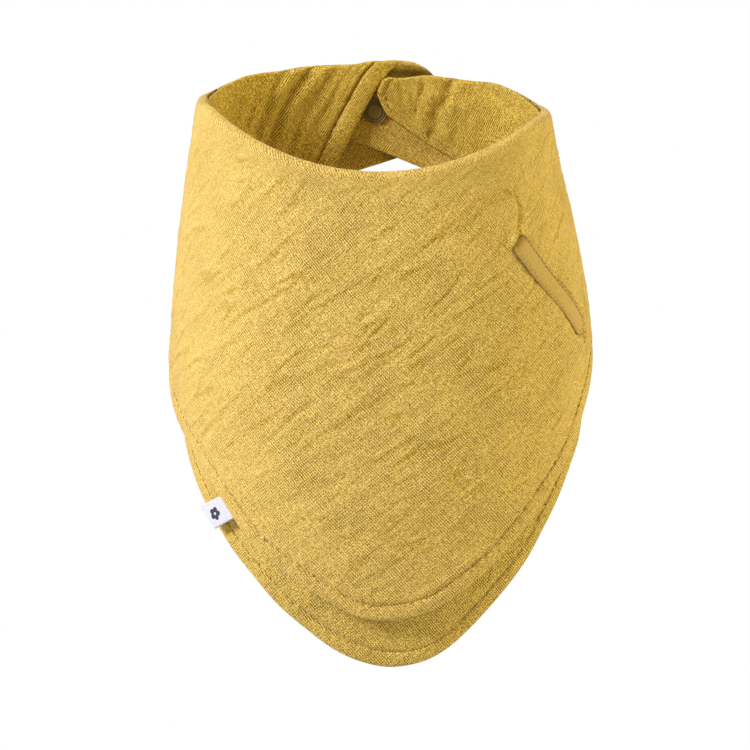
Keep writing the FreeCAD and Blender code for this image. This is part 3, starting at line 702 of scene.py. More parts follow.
def rear_sheet(name, ncol, n_out, n_in):
    u = np.linspace(0, 1, ncol)
    # columns stay evenly spaced up to the two free ends
    u = u + 0.0
    rows_out = None
    parts, atts = [], []
    for side, n_mid in ((1, n_out), (-1, n_in)):
        hemr = HEM_ROWS
        v_mid = np.linspace(0, 1, n_mid, endpoint=False)
        # first guess of the degrees to get lengths
        a0 = -188.0 + 23.0 * 0.5
        dg = a0 + u * (177.0 - a0)
        L0 = (rim(dg) - right_drop(dg)) - LOWER(dg)
        ec = slope_cos(LOWER, dg)
        W = rows_for(L0, ec, n_mid, hemr)
        Vv = W / L0[:, None]
        aL = left_end(Vv)
        eR = END_R(np.clip(Vv, 0, 1))
        D = aL + u[:, None] * (eR - aL)
        T = rim(D) - right_drop(D)
        hk = hook_amount(D)
        turn = smooth(64, 90, np.abs(D)) * (1 - smooth(112, 136, np.abs(D)))
        T = T - 1.5 * hk - turn * np.where(D > 0, 3.2, 3.0) + 1.9 * smooth(140, 154, D) + 1.7 * smooth(170, 181, -D)
        Z1 = LOWER(D)
        Lc = T - Z1
        Wc = Vv * Lc
        zc = T - Wc
        dedge = (Lc - Wc) * ec[:, None]
        s = S(D)
        # distance from the free ends, perpendicular to them
        dl = (D - aL) * 1.0 * 0.86 * 0.99
        dr = (eR - D) * 1.0 * 0.98
        dend = np.minimum(dl, dr)
        near = 1 - smooth(1.0, 12.0, Wc)
        back = smooth(118, 140, np.abs(D))
        half = 1.0 - 0.32 * near * (1 - back)
        face = lower_off(D, zc)
        # closes the rolled neckline from inside
        tuck = (1 - smooth(0.5, 9.0, Wc)) * (1 - smooth(138, 150, np.abs(D)))
        face = face * (1 - tuck) + (-2.2 - 0.75 * hk) * tuck
        mid = face - half
        fade = smooth(0.0, 5.0, Wc) * 0.7 + 0.3
        hemf = 0.35 + 0.65 * smooth(3.0, 9.0, dedge)
        endf = 0.25 + 0.75 * smooth(4.0, 9.0, dend)
        if side > 0:
            cz = creases(s, zc, 240) * fade * endf * smooth(5.0, 9.0, dedge)
            disp = 0.66 * crinkle(s, zc, 240) * fade * hemf * endf - 0.30 * cz
            disp += hem_profile(dedge, s) + pucker(s, dedge, 271)
            fold = 0.0
        else:
            cz = creases(s, zc, 340) * fade * endf * smooth(5.0, 9.0, dedge)
            disp = 0.55 * crinkle(s, zc, 340) * fade * hemf * endf - 0.3 * cz
            disp += 0.8 * hem_profile(dedge, s) + 0.8 * pucker(s, dedge, 371)
            # distance from the hem of the left end (positive into the cloth)
            q = (D - aL) * 0.98 * 0.856
            lz = smooth(-96, -122, D) * smooth(62, 46, q) * smooth(7.5, 10.5, q)
            qq = q + 1.8 * noise(zc / 20.0, q / 16.0, 401) + 0.5 * noise(zc / 6.0, q / 7.0, 407)
            fold = np.zeros_like(q)
            for q0, dep, wid in ((13.6, 0.45, 1.3), (19.4, 0.85, 1.7), (28.0, 1.35, 2.0), (34.6, 1.0, 1.6),
                                 (41.0, 0.6, 1.6), (47.5, 0.5, 1.8)):
                g = np.exp(-((qq - q0) / wid) ** 2)
                fold = fold - dep * g
                # painted shade in the valley of each fold
                cz = deeper(cz, 0.75 * dep * np.exp(-((qq - q0) / (wid * 0.55)) ** 2) * lz)
            fold = fold + 0.75 * np.exp(-((qq - 23.8) / 2.6) ** 2) + 0.55 * np.exp(-((qq - 31.3) / 1.9) ** 2)
            fold = fold * lz * (0.8 + 0.6 * noise(zc / 13.0, q / 20.0, 409))
            disp += 0.5 * noise(qq / 2.2, zc / 14.0, 403) * lz
            # folded strip of the left end: flat raised band with a stitched crease 7.2 mm in
            lstrip = smooth(-150, -160, D)
            disp += lstrip * (0.75 * np.sin(PI * np.clip(q / 7.6, 0, 1)) ** 0.6 - 1.0 * np.exp(-((q - 7.7) / 0.7) ** 2))
            # painted shade in the stitched crease, partly into the near-black painted shadow colour
            cz = deeper(cz, lstrip * 1.3 * np.exp(-((q - 7.8) / 0.6) ** 2))
            # right end: stitch line 3 mm in, puckers beside it
            rstrip = smooth(140, 150, D)
            low = np.minimum(dr, dedge)
            disp += rstrip * (0.28 * np.sin(PI * np.clip(low / 3.0, 0, 1)) - 0.55 * np.exp(-((low - 3.0) / 0.5) ** 2))
            # painted shade along the stitch line
            cz = deeper(cz, rstrip * 0.8 * np.exp(-((low - 3.0) / 0.5) ** 2))
            # painted shadow, near black, where the end's edge lies on the band beneath
            cz = deeper(cz, rstrip * 2.2 * np.exp(-(low / 0.75) ** 2) * smooth(1.0, 6.0, Wc))
            # gathers: one deep fold down from the neckline and smaller ones round it
            rz = smooth(134, 142, D) * smooth(1.5, 5.0, low)
            dq = D + 0.45 * (zc - 8.0) + 2.4 * noise(zc / 7.0, D / 9.0, 411)
            fold = fold + 0.8 * rz * (-1.05 * np.exp(-((dq - 154.5) / 1.9) ** 2) + 0.85 * np.exp(-((dq - 158.8) / 2.4) ** 2)
                         - 0.5 * np.exp(-((dq - 164.0) / 1.6) ** 2) + 0.55 * np.exp(-((dq - 150.0) / 2.4) ** 2))
            # painted shade in the valley of the deep fold
            cz = deeper(cz, 0.5 * rz * np.exp(-((dq - 154.3) / 1.1) ** 2))
            disp += rstrip * 0.75 * noise(s / 3.4, zc / 5.0, 405) * smooth(3.2, 6.0, low)
            disp += rstrip * 0.35 * noise(s / 1.7, zc / 2.2, 406) * smooth(3.2, 5.0, low)
        wave = 0.5 * noise(s / 38.0 + 9.0, zc / 46.0, 91) * smooth(4, 25, Wc) * (1 - back)
        edge_r = np.minimum(round_edge(dedge, 1.25), round_edge(np.maximum(dend, 0), 1.2))
        top_r = round_edge(Wc, 1.1)
        er = edge_r * top_r
        off = mid + wave - fold + side * (half + np.maximum(disp, -0.80 * half)) * er
        # the top corner of the left end leans back over the closure
        lean = smooth(-178, -190, D) * smooth(12.5, 20.0, zc)
        off = off + 3.4 * lean
        parts.append(skin(D, zc, off))
        # the last column flags the lining's inner face for painted shade
        atts.append(np.stack([s, zc, cz, 0 * cz + (1.0 if side < 0 else 0.0)], -1))
    A, B = parts
    loop = np.concatenate([A, B[:, ::-1][:, 1:-1]], 1)
    att = np.concatenate([atts[0], atts[1][:, ::-1][:, 1:-1]], 1)
    faces = grid_faces(ncol, loop.shape[1], wrap_v=True)
    ob = new_mesh(name, loop.reshape(-1, 3), faces, {"cloth_shade": att.reshape(-1, 4)})
    orient_out(ob)
    return ob


# ------------------------------------------------------------------ materials
def srgb(hexs, k=1.0):
    c = [int(hexs[i:i + 2], 16) / 255 for i in (1, 3, 5)]
    return tuple([(x / 12.92 if x <= 0.04045 else ((x + 0.055) / 1.055) ** 2.4) * k for x in c] + [1.0])


def mat_nodes(name):
    m = bpy.data.materials.new(name)
    m.use_nodes = True
    nt = m.node_tree
    nt.nodes.clear()
    out = nt.nodes.new("ShaderNodeOutputMaterial")
    bsdf = nt.nodes.new("ShaderNodeBsdfPrincipled")
    nt.links.new(bsdf.outputs[0], out.inputs[0])
    return m, nt, bsdf


def N(nt, kind, **kw):
    n = nt.nodes.new(kind)
    for k, v in kw.items():
        setattr(n, k, v)
    return n


def math_node(nt, op, a, b=None):
    n = nt.nodes.new("ShaderNodeMath")
    n.operation = op
    for i, x in enumerate((a, b)):
        if x is None:
            continue
        if isinstance(x, (int, float)):
            n.inputs[i].default_value = x
        else:
            nt.links.new(x, n.inputs[i])
    return n.outputs[0]


def muslin(name, light, dark, weave=1.0):
    m, nt, bsdf = mat_nodes(name)
    at = N(nt, "ShaderNodeAttribute", attribute_name="cloth")
    mp = N(nt, "ShaderNodeMapping")
    mp.inputs["Rotation"].default_value = (0, 0, math.radians(-41))
    nt.links.new(at.outputs["Vector"], mp.inputs["Vector"])
    # slight wander of the yarns
    nz = N(nt, "ShaderNodeTexNoise")
    nz.inputs["Scale"].default_value = 0.22
    nz.inputs["Detail"].default_value = 2.0
    nt.links.new(mp.outputs[0], nz.inputs["Vector"])
    wob = N(nt, "ShaderNodeVectorMath", operation="MULTIPLY_ADD")
    nt.links.new(nz.outputs["Color"], wob.inputs[0])
    wob.inputs[1].default_value = (0.9, 0.9, 0)
    nt.links.new(mp.outputs[0], wob.inputs[2])
    sep = N(nt, "ShaderNodeSeparateXYZ")
    nt.links.new(wob.outputs[0], sep.inputs[0])
    sx = math_node(nt, "SINE", math_node(nt, "MULTIPLY", sep.outputs[0], 2 * PI / 0.80))
    sy = math_node(nt, "SINE", math_node(nt, "MULTIPLY", sep.outputs[1], 2 * PI / 0.92))
    prod = math_node(nt, "MULTIPLY", sx, sy)

    def stretched(sc, detail, seed):
        # yarn-like streaks: the cloth vector is turned first and stretched afterwards
        m2 = N(nt, "ShaderNodeMapping")
        m2.inputs["Location"].default_value = (seed, seed * 0.7, 0)
        m2.inputs["Scale"].default_value = sc
        nt.links.new(wob.outputs[0], m2.inputs["Vector"])
        t2 = N(nt, "ShaderNodeTexNoise")
        t2.inputs["Scale"].default_value = 1.0
        t2.inputs["Detail"].default_value = detail
        nt.links.new(m2.outputs[0], t2.inputs["Vector"])
        return math_node(nt, "SUBTRACT", t2.outputs[0], 0.5)
    slub_a = stretched((1.15, 0.16, 1), 3.0, 3.0)
    slub_b = stretched((0.16, 1.15, 1), 3.0, 11.0)
    grit = stretched((1.7, 1.3, 1), 2.0, 19.0)
    knots = stretched((0.95, 0.62, 1), 1.0, 23.0)
    patch = stretched((0.075, 0.075, 1), 2.0, 27.0)
    # the yarns show more in some patches than in others
    ma = math_node(nt, "ADD", math_node(nt, "MULTIPLY", patch, 4.2), 0.92)
    ma = math_node(nt, "MAXIMUM", ma, 0.18)
    ma = math_node(nt, "MULTIPLY", ma, math_node(nt, "ADD", math_node(nt, "MULTIPLY", math_node(nt, "ABSOLUTE", slub_b), 5.0), 0.42))
    xs_ = N(nt, "ShaderNodeSeparateXYZ")
    nt.links.new(at.outputs["Vector"], xs_.inputs[0])
    side = N(nt, "ShaderNodeMapRange")
    side.interpolation_type = "SMOOTHSTEP"
    side.inputs["From Min"].default_value = -72.0
    side.inputs["From Max"].default_value = -22.0
    side.inputs["To Min"].default_value = 0.46
    side.inputs["To Max"].default_value = 1.0
    nt.links.new(xs_.outputs[0], side.inputs["Value"])
    side2 = N(nt, "ShaderNodeMapRange")
    side2.interpolation_type = "SMOOTHSTEP"
    side2.inputs["From Min"].default_value = 42.0
    side2.inputs["From Max"].default_value = 74.0
    side2.inputs["To Min"].default_value = 1.0
    side2.inputs["To Max"].default_value = 0.66
    nt.links.new(xs_.outputs[0], side2.inputs["Value"])
    plain = math_node(nt, "MULTIPLY", side.outputs[0], side2.outputs[0])
    yarn = math_node(nt, "MULTIPLY", math_node(nt, "ADD", math_node(nt, "MULTIPLY", sx, 0.46),
                     math_node(nt, "ADD", math_node(nt, "MULTIPLY", sy, 0.20), math_node(nt, "MULTIPLY", prod, 0.26))), ma)
    slub = math_node(nt, "ADD", math_node(nt, "MULTIPLY", slub_a, 1.5), math_node(nt, "MULTIPLY", slub_b, 1.1))
    big = stretched((0.045, 0.06, 1), 3.0, 35.0)
    fine = stretched((3.1, 2.5, 1), 1.0, 41.0)
    t = math_node(nt, "ADD", math_node(nt, "MULTIPLY", yarn, 1.15 * weave), math_node(nt, "MULTIPLY", slub, 0.46))
    t = math_node(nt, "ADD", t, math_node(nt, "MULTIPLY", grit, 1.5 * weave))
    t = math_node(nt, "ADD", t, math_node(nt, "MULTIPLY", knots, 0.9 * weave))
    t = math_node(nt, "ADD", t, math_node(nt, "MULTIPLY", fine, 3.3 * weave))
    fo = N(nt, "ShaderNodeAttribute", attribute_name="fold")
    fsep = N(nt, "ShaderNodeSeparateXYZ")
    nt.links.new(fo.outputs["Vector"], fsep.inputs[0])
    inner = math_node(nt, "MINIMUM", fsep.outputs[1], 1.0)
    plain = math_node(nt, "MAXIMUM", plain, math_node(nt, "MULTIPLY", inner, 1.8))
    t = math_node(nt, "MULTIPLY", t, plain)
    t = math_node(nt, "ADD", t, math_node(nt, "MULTIPLY", big, 0.30))
    # painted shade: fold.R darkens creases, tucks and gaps and lightens lit crests as a painted highlight; fold.G
    # darkens the inner faces
    t = math_node(nt, "SUBTRACT", t, math_node(nt, "MULTIPLY", fsep.outputs[0], 0.30))
    t = math_node(nt, "SUBTRACT", t, math_node(nt, "MULTIPLY", fsep.outputs[1], 0.10))
    t = math_node(nt, "ADD", t, 0.5)
    ramp = N(nt, "ShaderNodeValToRGB")
    ramp.color_ramp.elements[0].position = 0.0
    ramp.color_ramp.elements[0].color = dark
    ramp.color_ramp.elements[1].position = 1.0
    ramp.color_ramp.elements[1].color = light
    nt.links.new(t, ramp.inputs[0])
    # painted shadow: where the painted shade mask runs past 0.9 the colour goes almost black-olive, for the shadow gaps
    # at hem edges and creases, and loses its sheen
    deep = N(nt, "ShaderNodeMapRange")
    deep.inputs["From Min"].default_value = 0.9
    deep.inputs["From Max"].default_value = 2.0
    nt.links.new(fsep.outputs[0], deep.inputs["Value"])
    mixc = N(nt, "ShaderNodeMix", data_type="RGBA")
    nt.links.new(deep.outputs[0], mixc.inputs[0])
    nt.links.new(ramp.outputs[0], mixc.inputs[6])
    mixc.inputs[7].default_value = (0.035, 0.020, 0.002, 1)
    nt.links.new(mixc.outputs[2], bsdf.inputs["Base Color"])
    hgt = yarn
    bsdf.inputs["Roughness"].default_value = 0.88
    if "Specular IOR Level" in bsdf.inputs:
        bsdf.inputs["Specular IOR Level"].default_value = 0.32
    if "Sheen Weight" in bsdf.inputs:
        gone = math_node(nt, "MAXIMUM", math_node(nt, "MULTIPLY", fsep.outputs[0], 1.6), inner)
        shn = math_node(nt, "MULTIPLY", math_node(nt, "SUBTRACT", 1.0, math_node(nt, "MINIMUM", math_node(nt, "MAXIMUM", gone, 0.0), 1.0)), 0.15)
        nt.links.new(shn, bsdf.inputs["Sheen Weight"])
        nt.links.new(math_node(nt, "MULTIPLY", shn, 2.2), bsdf.inputs["Specular IOR Level"])
        bsdf.inputs["Sheen Roughness"].default_value = 0.5
        bsdf.inputs["Sheen Tint"].default_value = srgb("#F6E4AA")
    bmp = N(nt, "ShaderNodeBump")
    bmp.inputs["Strength"].default_value = 0.6 * weave
    bmp.inputs["Distance"].default_value = 0.00025
    hh = math_node(nt, "ADD", hgt, math_node(nt, "ADD", math_node(nt, "MULTIPLY", slub, 0.6), math_node(nt, "MULTIPLY", grit, 1.2)))
    hh = math_node(nt, "MULTIPLY", hh, math_node(nt, "MINIMUM", plain, 1.0))
    nt.links.new(hh, bmp.inputs["Height"])
    nt.links.new(bmp.outputs[0], bsdf.inputs["Normal"])
    return m


def plastic(name, col, rough=0.38):
    m, nt, bsdf = mat_nodes(name)
    tc = N(nt, "ShaderNodeTexCoord")
    nz = N(nt, "ShaderNodeTexNoise")
    nz.inputs["Scale"].default_value = 900.0
    nz.inputs["Detail"].default_value = 3.0
    nt.links.new(tc.outputs["Object"], nz.inputs["Vector"])
    ramp = N(nt, "ShaderNodeValToRGB")
    ramp.color_ramp.elements[0].color = tuple([c * 0.88 for c in col[:3]] + [1])
    ramp.color_ramp.elements[1].color = tuple([min(1, c * 1.08) for c in col[:3]] + [1])
    nt.links.new(nz.outputs[0], ramp.inputs[0])
    nt.links.new(ramp.outputs[0], bsdf.inputs["Base Color"])
    r = math_node(nt, "ADD", math_node(nt, "MULTIPLY", nz.outputs[0], 0.18), rough - 0.09)
    nt.links.new(r, bsdf.inputs["Roughness"])
    bmp = N(nt, "ShaderNodeBump")
    bmp.inputs["Strength"].default_value = 0.12
    bmp.inputs["Distance"].default_value = 0.00005
    nt.links.new(nz.outputs[0], bmp.inputs["Height"])
    nt.links.new(bmp.outputs[0], bsdf.inputs["Normal"])
    return m


def woven_tape(name, light, dark, pitch=0.45, strength=0.35, sewn_in=False):
    m, nt, bsdf = mat_nodes(name)
    at = N(nt, "ShaderNodeAttribute", attribute_name="cloth")
    sep = N(nt, "ShaderNodeSeparateXYZ")
    nt.links.new(at.outputs["Vector"], sep.inputs[0])
    k = 2 * PI / pitch
    sx = math_node(nt, "SINE", math_node(nt, "MULTIPLY", sep.outputs[0], k))
    sy = math_node(nt, "SINE", math_node(nt, "MULTIPLY", sep.outputs[1], k))
    prod = math_node(nt, "MULTIPLY", sx, sy)
    nz = N(nt, "ShaderNodeTexNoise")
    nz.inputs["Scale"].default_value = 1.3
    nz.inputs["Detail"].default_value = 4.0
    nt.links.new(at.outputs["Vector"], nz.inputs["Vector"])
    t = math_node(nt, "ADD", math_node(nt, "MULTIPLY", prod, 0.16),
                  math_node(nt, "MULTIPLY", nz.outputs[0], 1.0))
    if sewn_in:
        # shade where the tape goes down into the cloth
        mr = N(nt, "ShaderNodeMapRange")
        mr.interpolation_type = "SMOOTHSTEP"
        mr.inputs["From Min"].default_value = -1.0
        mr.inputs["From Max"].default_value = 3.4
        mr.inputs["To Min"].default_value = -0.6
        mr.inputs["To Max"].default_value = 0.0
        nt.links.new(sep.outputs[0], mr.inputs["Value"])
        t = math_node(nt, "ADD", t, mr.outputs[0])
    ramp = N(nt, "ShaderNodeValToRGB")
    ramp.color_ramp.elements[0].position = -0.0 if sewn_in else 0.1
    ramp.color_ramp.elements[0].color = dark
    ramp.color_ramp.elements[1].position = 0.9
    ramp.color_ramp.elements[1].color = light
    nt.links.new(t, ramp.inputs[0])
    nt.links.new(ramp.outputs[0], bsdf.inputs["Base Color"])
    bsdf.inputs["Roughness"].default_value = 0.78
    if "Specular IOR Level" in bsdf.inputs:
        bsdf.inputs["Specular IOR Level"].default_value = 0.2
    if "Sheen Weight" in bsdf.inputs:
        bsdf.inputs["Sheen Weight"].default_value = 0.1
    bmp = N(nt, "ShaderNodeBump")
    bmp.inputs["Strength"].default_value = strength
    bmp.inputs["Distance"].default_value = 0.0001
    nt.links.new(prod, bmp.inputs["Height"])
    nt.links.new(bmp.outputs[0], bsdf.inputs["Normal"])
    return m


def thread_mat(name, light, dark):
    m, nt, bsdf = mat_nodes(name)
    tc = N(nt, "ShaderNodeTexCoord")
    mp = N(nt, "ShaderNodeMapping")
    mp.inputs["Rotation"].default_value = (0.6, 0.5, 0.7)
    nt.links.new(tc.outputs["Object"], mp.inputs[0])
    wv = N(nt, "ShaderNodeTexWave")
    wv.inputs["Scale"].default_value = 700.0
    wv.inputs["Distortion"].default_value = 1.5
    nt.links.new(mp.outputs[0], wv.inputs["Vector"])
    ramp = N(nt, "ShaderNodeValToRGB")
    ramp.color_ramp.elements[0].color = dark
    ramp.color_ramp.elements[1].color = light
    nt.links.new(wv.outputs[0], ramp.inputs[0])
    nt.links.new(ramp.outputs[0], bsdf.inputs["Base Color"])
    bsdf.inputs["Roughness"].default_value = 0.7
    bmp = N(nt, "ShaderNodeBump")
    bmp.inputs["Strength"].default_value = 0.4
    bmp.inputs["Distance"].default_value = 0.00005
    nt.links.new(wv.outputs[0], bmp.inputs["Height"])
    nt.links.new(bmp.outputs[0], bsdf.inputs["Normal"])
    return m


# the middle of each ramp gives the cloth its tone and weave; its dark end is also where the painted crease and gap
# shade ends up, darker on the lining
M_FRONT = muslin("muslin_front", srgb("#EFC65A"), srgb("#8C6B0E"))
M_REAR = muslin("muslin_rear", srgb("#EFC652"), srgb("#81640C"), 1.25)
M_THREAD = thread_mat("tonal_thread", srgb("#DDB652"), srgb("#A8842C"))
# tonal snap colour darkened to the cloth's tone in shade: painted shade on every snap
M_SNAP = plastic("tonal_snap", srgb("#77621D"), 0.5)
M_STRAP = woven_tape("tonal_tape", srgb("#D6AF50"), srgb("#9C7A28"), sewn_in=True)
M_STRAP_THREAD = thread_mat("strap_thread", srgb("#B58F38"), srgb("#8A6A22"))
M_LABEL = woven_tape("white_ribbon", srgb("#DFD8BC"), srgb("#B8B29A"), 0.62, 0.6)
M_MOTIF = woven_tape("grey_yarn", srgb("#4A4744"), srgb("#2B2927"), 0.3, 0.6)


def give(ob, mat):
    ob.data.materials.clear()
    ob.data.materials.append(mat)


# ------------------------------------------------------------------ build the cloth
SPLIT = 118.0
front = front_sheet("front_layer", np.linspace(-SPLIT, SPLIT, 470), "front", 205, 46)
left = front_sheet("left_tail_cloth", -np.linspace(SPLIT, 200.0, 134), "left", 205, 46, 200.0, 9.0)
right = front_sheet("right_tail_cloth", np.linspace(SPLIT, 193.5, 124), "right", 205, 46, 193.5, 7.5)
rear = rear_sheet("rear_layer", 560, 44, 150)
for o in (front, left, right):
    give(o, M_FRONT)
give(rear, M_REAR)
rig.slot(front, "muslin")
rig.slot(left, "muslin")
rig.slot(right, "muslin")
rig.slot(rear, "muslin_lining")

J = {j["name"]: j for j in frame["joints"]}
lift = J["upper_flap_lift"]["pos_m"]
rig.blend(front, "bib", "upper_flap", start=(0, lift[1], lift[2] + 0.022), end=(0, lift[1], lift[2] - 0.020))
hl, hr = J["left_tail_open"]["pos_m"], J["right_tail_open"]["pos_m"]
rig.blend(left, "bib", "left_tail", start=(hl[0] - 0.006, hl[1], 0), end=(hl[0] + 0.012, hl[1], 0))
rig.blend(right, "bib", "right_tail", start=(hr[0] + 0.006, hr[1], 0), end=(hr[0] - 0.012, hr[1], 0))
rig.ride(rear, "bib")
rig.replaces(front, "upper_yoke_face", "upper_yoke_lining", "upper_flap_face", "upper_flap_lining", "neckline_seam_thread")
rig.replaces(left, "left_tail_face", "left_tail_lining")
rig.replaces(right, "right_tail_face", "right_tail_lining")
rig.replaces(rear, "lower_panel_face", "lower_panel_lining")


# ------------------------------------------------------------------ sewing
def bvh_of(ob):
    return BVHTree.FromPolygons([v.co.copy() for v in ob.data.vertices],
                                [tuple(p.vertices) for p in ob.data.polygons])


def stitches(name, pts, tree, pitch=2.9, length=2.2, rad=0.24, sink=0.05, mat=None, outward=None):
    """row of separate thread stitches pressed on to the cloth along a polyline (mm)"""
    P = np.asarray(pts, float)
    seg = np.linalg.norm(np.diff(P, axis=0), axis=1)
    cum = np.concatenate([[0], np.cumsum(seg)])
    n = int(cum[-1] / pitch)
    V, F = [], []
    nl, nr = 7, 8
    rng = np.random.RandomState(len(name) * 13 + 5)
    for i in range(n):
        c = (i + 0.5) * pitch + rng.uniform(-0.08, 0.08)
        ts = c + np.linspace(-0.5, 0.5, nl) * length * rng.uniform(0.94, 1.04)
        ring = []
        for k, q in enumerate(ts):
            p = np.array([np.interp(q, cum, P[:, a]) for a in range(3)])
            loc, nor, idx, dist = tree.find_nearest(Vector(p * MM))
            nor = np.array(nor)
            if outward is not None:
                o = outward(p)
                if np.dot(nor, o) < 0:
                    nor = -nor
            ring.append((np.array(loc) / MM, nor))
        cs = np.array([r[0] for r in ring])
        ns = np.mean([r[1] for r in ring], axis=0)
        ns /= np.linalg.norm(ns)
        t = cs[-1] - cs[0]
        t /= np.linalg.norm(t) + 1e-9
        b = np.cross(t, ns)
        b /= np.linalg.norm(b) + 1e-9
        base = len(V)
        for k in range(nl):
            f = math.sin(PI * (k + 0.35) / (nl - 0.3)) ** 0.4
            dip = 0.30 * (1 - math.sin(PI * (k + 0.2) / (nl - 0.6)) ** 0.5)
            for j in range(nr):
                a = 2 * PI * j / nr
                V.append(cs[k] + ns * (rad * 0.8 - sink - dip + rad * f * 0.85 * math.sin(a)) + b * (rad * f * math.cos(a)))
        for k in range(nl - 1):
            for j in range(nr):
                j1 = (j + 1) % nr
                F.append((base + k * nr + j, base + k * nr + j1, base + (k + 1) * nr + j1, base + (k + 1) * nr + j))
        # end caps
        for k, rev in ((0, True), (nl - 1, False)):
            idx = [base + k * nr + j for j in range(nr)]
            for a0 in range(1, nr - 2, 2):
                q4 = (idx[0], idx[a0], idx[a0 + 1], idx[a0 + 2])
                F.append(q4[::-1] if rev else q4)
    ob = new_mesh(name, np.array(V), np.array(F))
    give(ob, mat or M_THREAD)
    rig.slot(ob, "thread")
    return ob


def inset_line(edge, lo, hi, dist, off_fn, step=0.8):
    dg = np.arange(lo, hi, step)
    tz = (edge(dg + 1.5) - edge(dg - 1.5)) / (S(dg + 1.5) - S(dg - 1.5))
    q = np.sqrt(1 + tz * tz)
    s = S(dg) - tz / q * dist
    z = edge(dg) + dist / q
    d2 = DEG(s)
    return skin(d2, z, off_fn(d2, z))


def radial(p):
    v = np.array([p[0], p[1], 0.0])
    return v / (np.linalg.norm(v) + 1e-9)


def inward(p):
    return -radial(p)


t_front = bvh_of(front)
t_rear = bvh_of(rear)
t_left = bvh_of(left)
t_right = bvh_of(right)
line = inset_line(UPPER, -116, 116, HEM, lambda a, b: 0.6)
st = stitches("front_topstitch", line, t_front, outward=radial)
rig.blend(st, "bib", "upper_flap", start=(0, lift[1], lift[2] + 0.022), end=(0, lift[1], lift[2] - 0.020))
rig.replaces(st, "yoke_topstitch", "flap_topstitch")
line = inset_line(LOWER, -150, 150, HEM, lambda a, b: lower_off(a, b) + 0.6)
st = stitches("rear_topstitch", line, t_rear, outward=radial)
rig.ride(st, "bib")
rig.replaces(st, "lower_topstitch")
line = inset_line(LOWER, -150, 150, HEM, lambda a, b: lower_off(a, b) - 2.8)
st = stitches("rear_topstitch_back", line, t_rear, outward=inward)
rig.ride(st, "bib")

# left end: stitches down the crease of the folded strip; right end: stitches 3 mm in
zz = np.linspace(19.0, -19.0, 40)
xx = 8.1 + (zz - 20.7) * 0.604 - 7.6 / 0.856 + 1.6 * np.clip(1 - (20.0 - zz) / 5.6, 0, 1) ** 2
yy = np.full_like(zz, 48.0)
tl = stitches("inner_left_stitch", np.stack([xx, yy, zz], 1), t_rear, mat=M_THREAD, outward=inward, pitch=2.7, length=2.0)
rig.ride(tl, "bib")
dg = np.concatenate([np.full(3, 0)])
vv = np.linspace(0.14, 0.86, 16)
Rr = END_R(vv) - 3.1
Tt = rim(Rr) - right_drop(Rr)
Zr = Tt - vv * (Tt - LOWER(Rr))
l1 = skin(Rr, Zr, -5.8)
Rb = np.arange(Rr[-1] - 1.0, 128, -1.5)
l2 = skin(Rb, LOWER(Rb) + 3.0 / slope_cos(LOWER, Rb), -5.8)
tr = stitches("inner_right_stitch", np.concatenate([l1, l2]), t_rear, outward=inward, pitch=2.5, length=1.8)
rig.ride(tr, "bib")
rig.replaces(tl, "inner_end_topstitch")

line = inset_line(UPPER, -191, -139, HEM, lambda a, b: left_rise(a) + 2.0 * smooth(143, 161, -a) + 0.6)
st = stitches("left_tail_stitch", line[line[:, 0] > -40], t_left, outward=radial)
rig.ride(st, "left_tail")
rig.replaces(st, "left_tail_topstitch")
line = inset_line(UPPER, 139, 188, HEM, lambda a, b: 0.6)
st = stitches("right_tail_stitch", line[line[:, 0] < 40], t_right, outward=radial)
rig.ride(st, "right_tail")
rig.replaces(st, "right_tail_topstitch")


# ------------------------------------------------------------------ snaps
def lathe(name, profile, origin, direction, mat, nseg=48):
    """profile: [(r, h)] in mm; h along direction from origin (mm)"""
    d = Vector(direction).normalized()
    q = Vector((0, 0, 1)).rotation_difference(d)
    V, F = [], []
    n = len(profile)
    for i in range(nseg):
        a = 2 * PI * i / nseg
        for r, h in profile:
            p = q @ Vector((r * math.cos(a), r * math.sin(a), h))
            V.append((p.x + origin[0], p.y + origin[1], p.z + origin[2]))
    for i in range(nseg):
        i1 = (i + 1) % nseg
        for k in range(n - 1):
            F.append((i * n + k, i1 * n + k, i1 * n + k + 1, i * n + k + 1))
    ob = new_mesh(name, np.array(V), np.array(F))
    orient_out(ob)
    give(ob, mat)
    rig.slot(ob, "snap")
    return ob


def centre(node):
    lo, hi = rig.box(node)
    return (lo + hi) / 2 / MM


def cap_profile(rad, thick, prong, length):
    # flat disc with a thin outer ring, a groove and a slightly raised middle
    return [(0.0, thick * 0.72), (rad * 0.20, thick * 0.72), (rad * 0.50, thick * 0.74), (rad * 0.60, thick * 0.72),
            (rad * 0.61, thick * 0.16), (rad * 0.68, thick * 0.16), (rad * 0.70, thick * 0.74), (rad * 0.78, thick * 0.78),
            (rad * 0.79, thick * 0.20), (rad * 0.86, thick * 0.20), (rad * 0.87, thick * 0.86), (rad * 0.94, thick * 0.86),
            (rad * 0.98, thick * 0.66), (rad * 1.0, thick * 0.40), (rad * 0.985, thick * 0.14), (rad * 0.93, 0.0),
            (prong * 1.6, 0.0), (prong, -0.1), (prong, -length), (0.0, -length)]


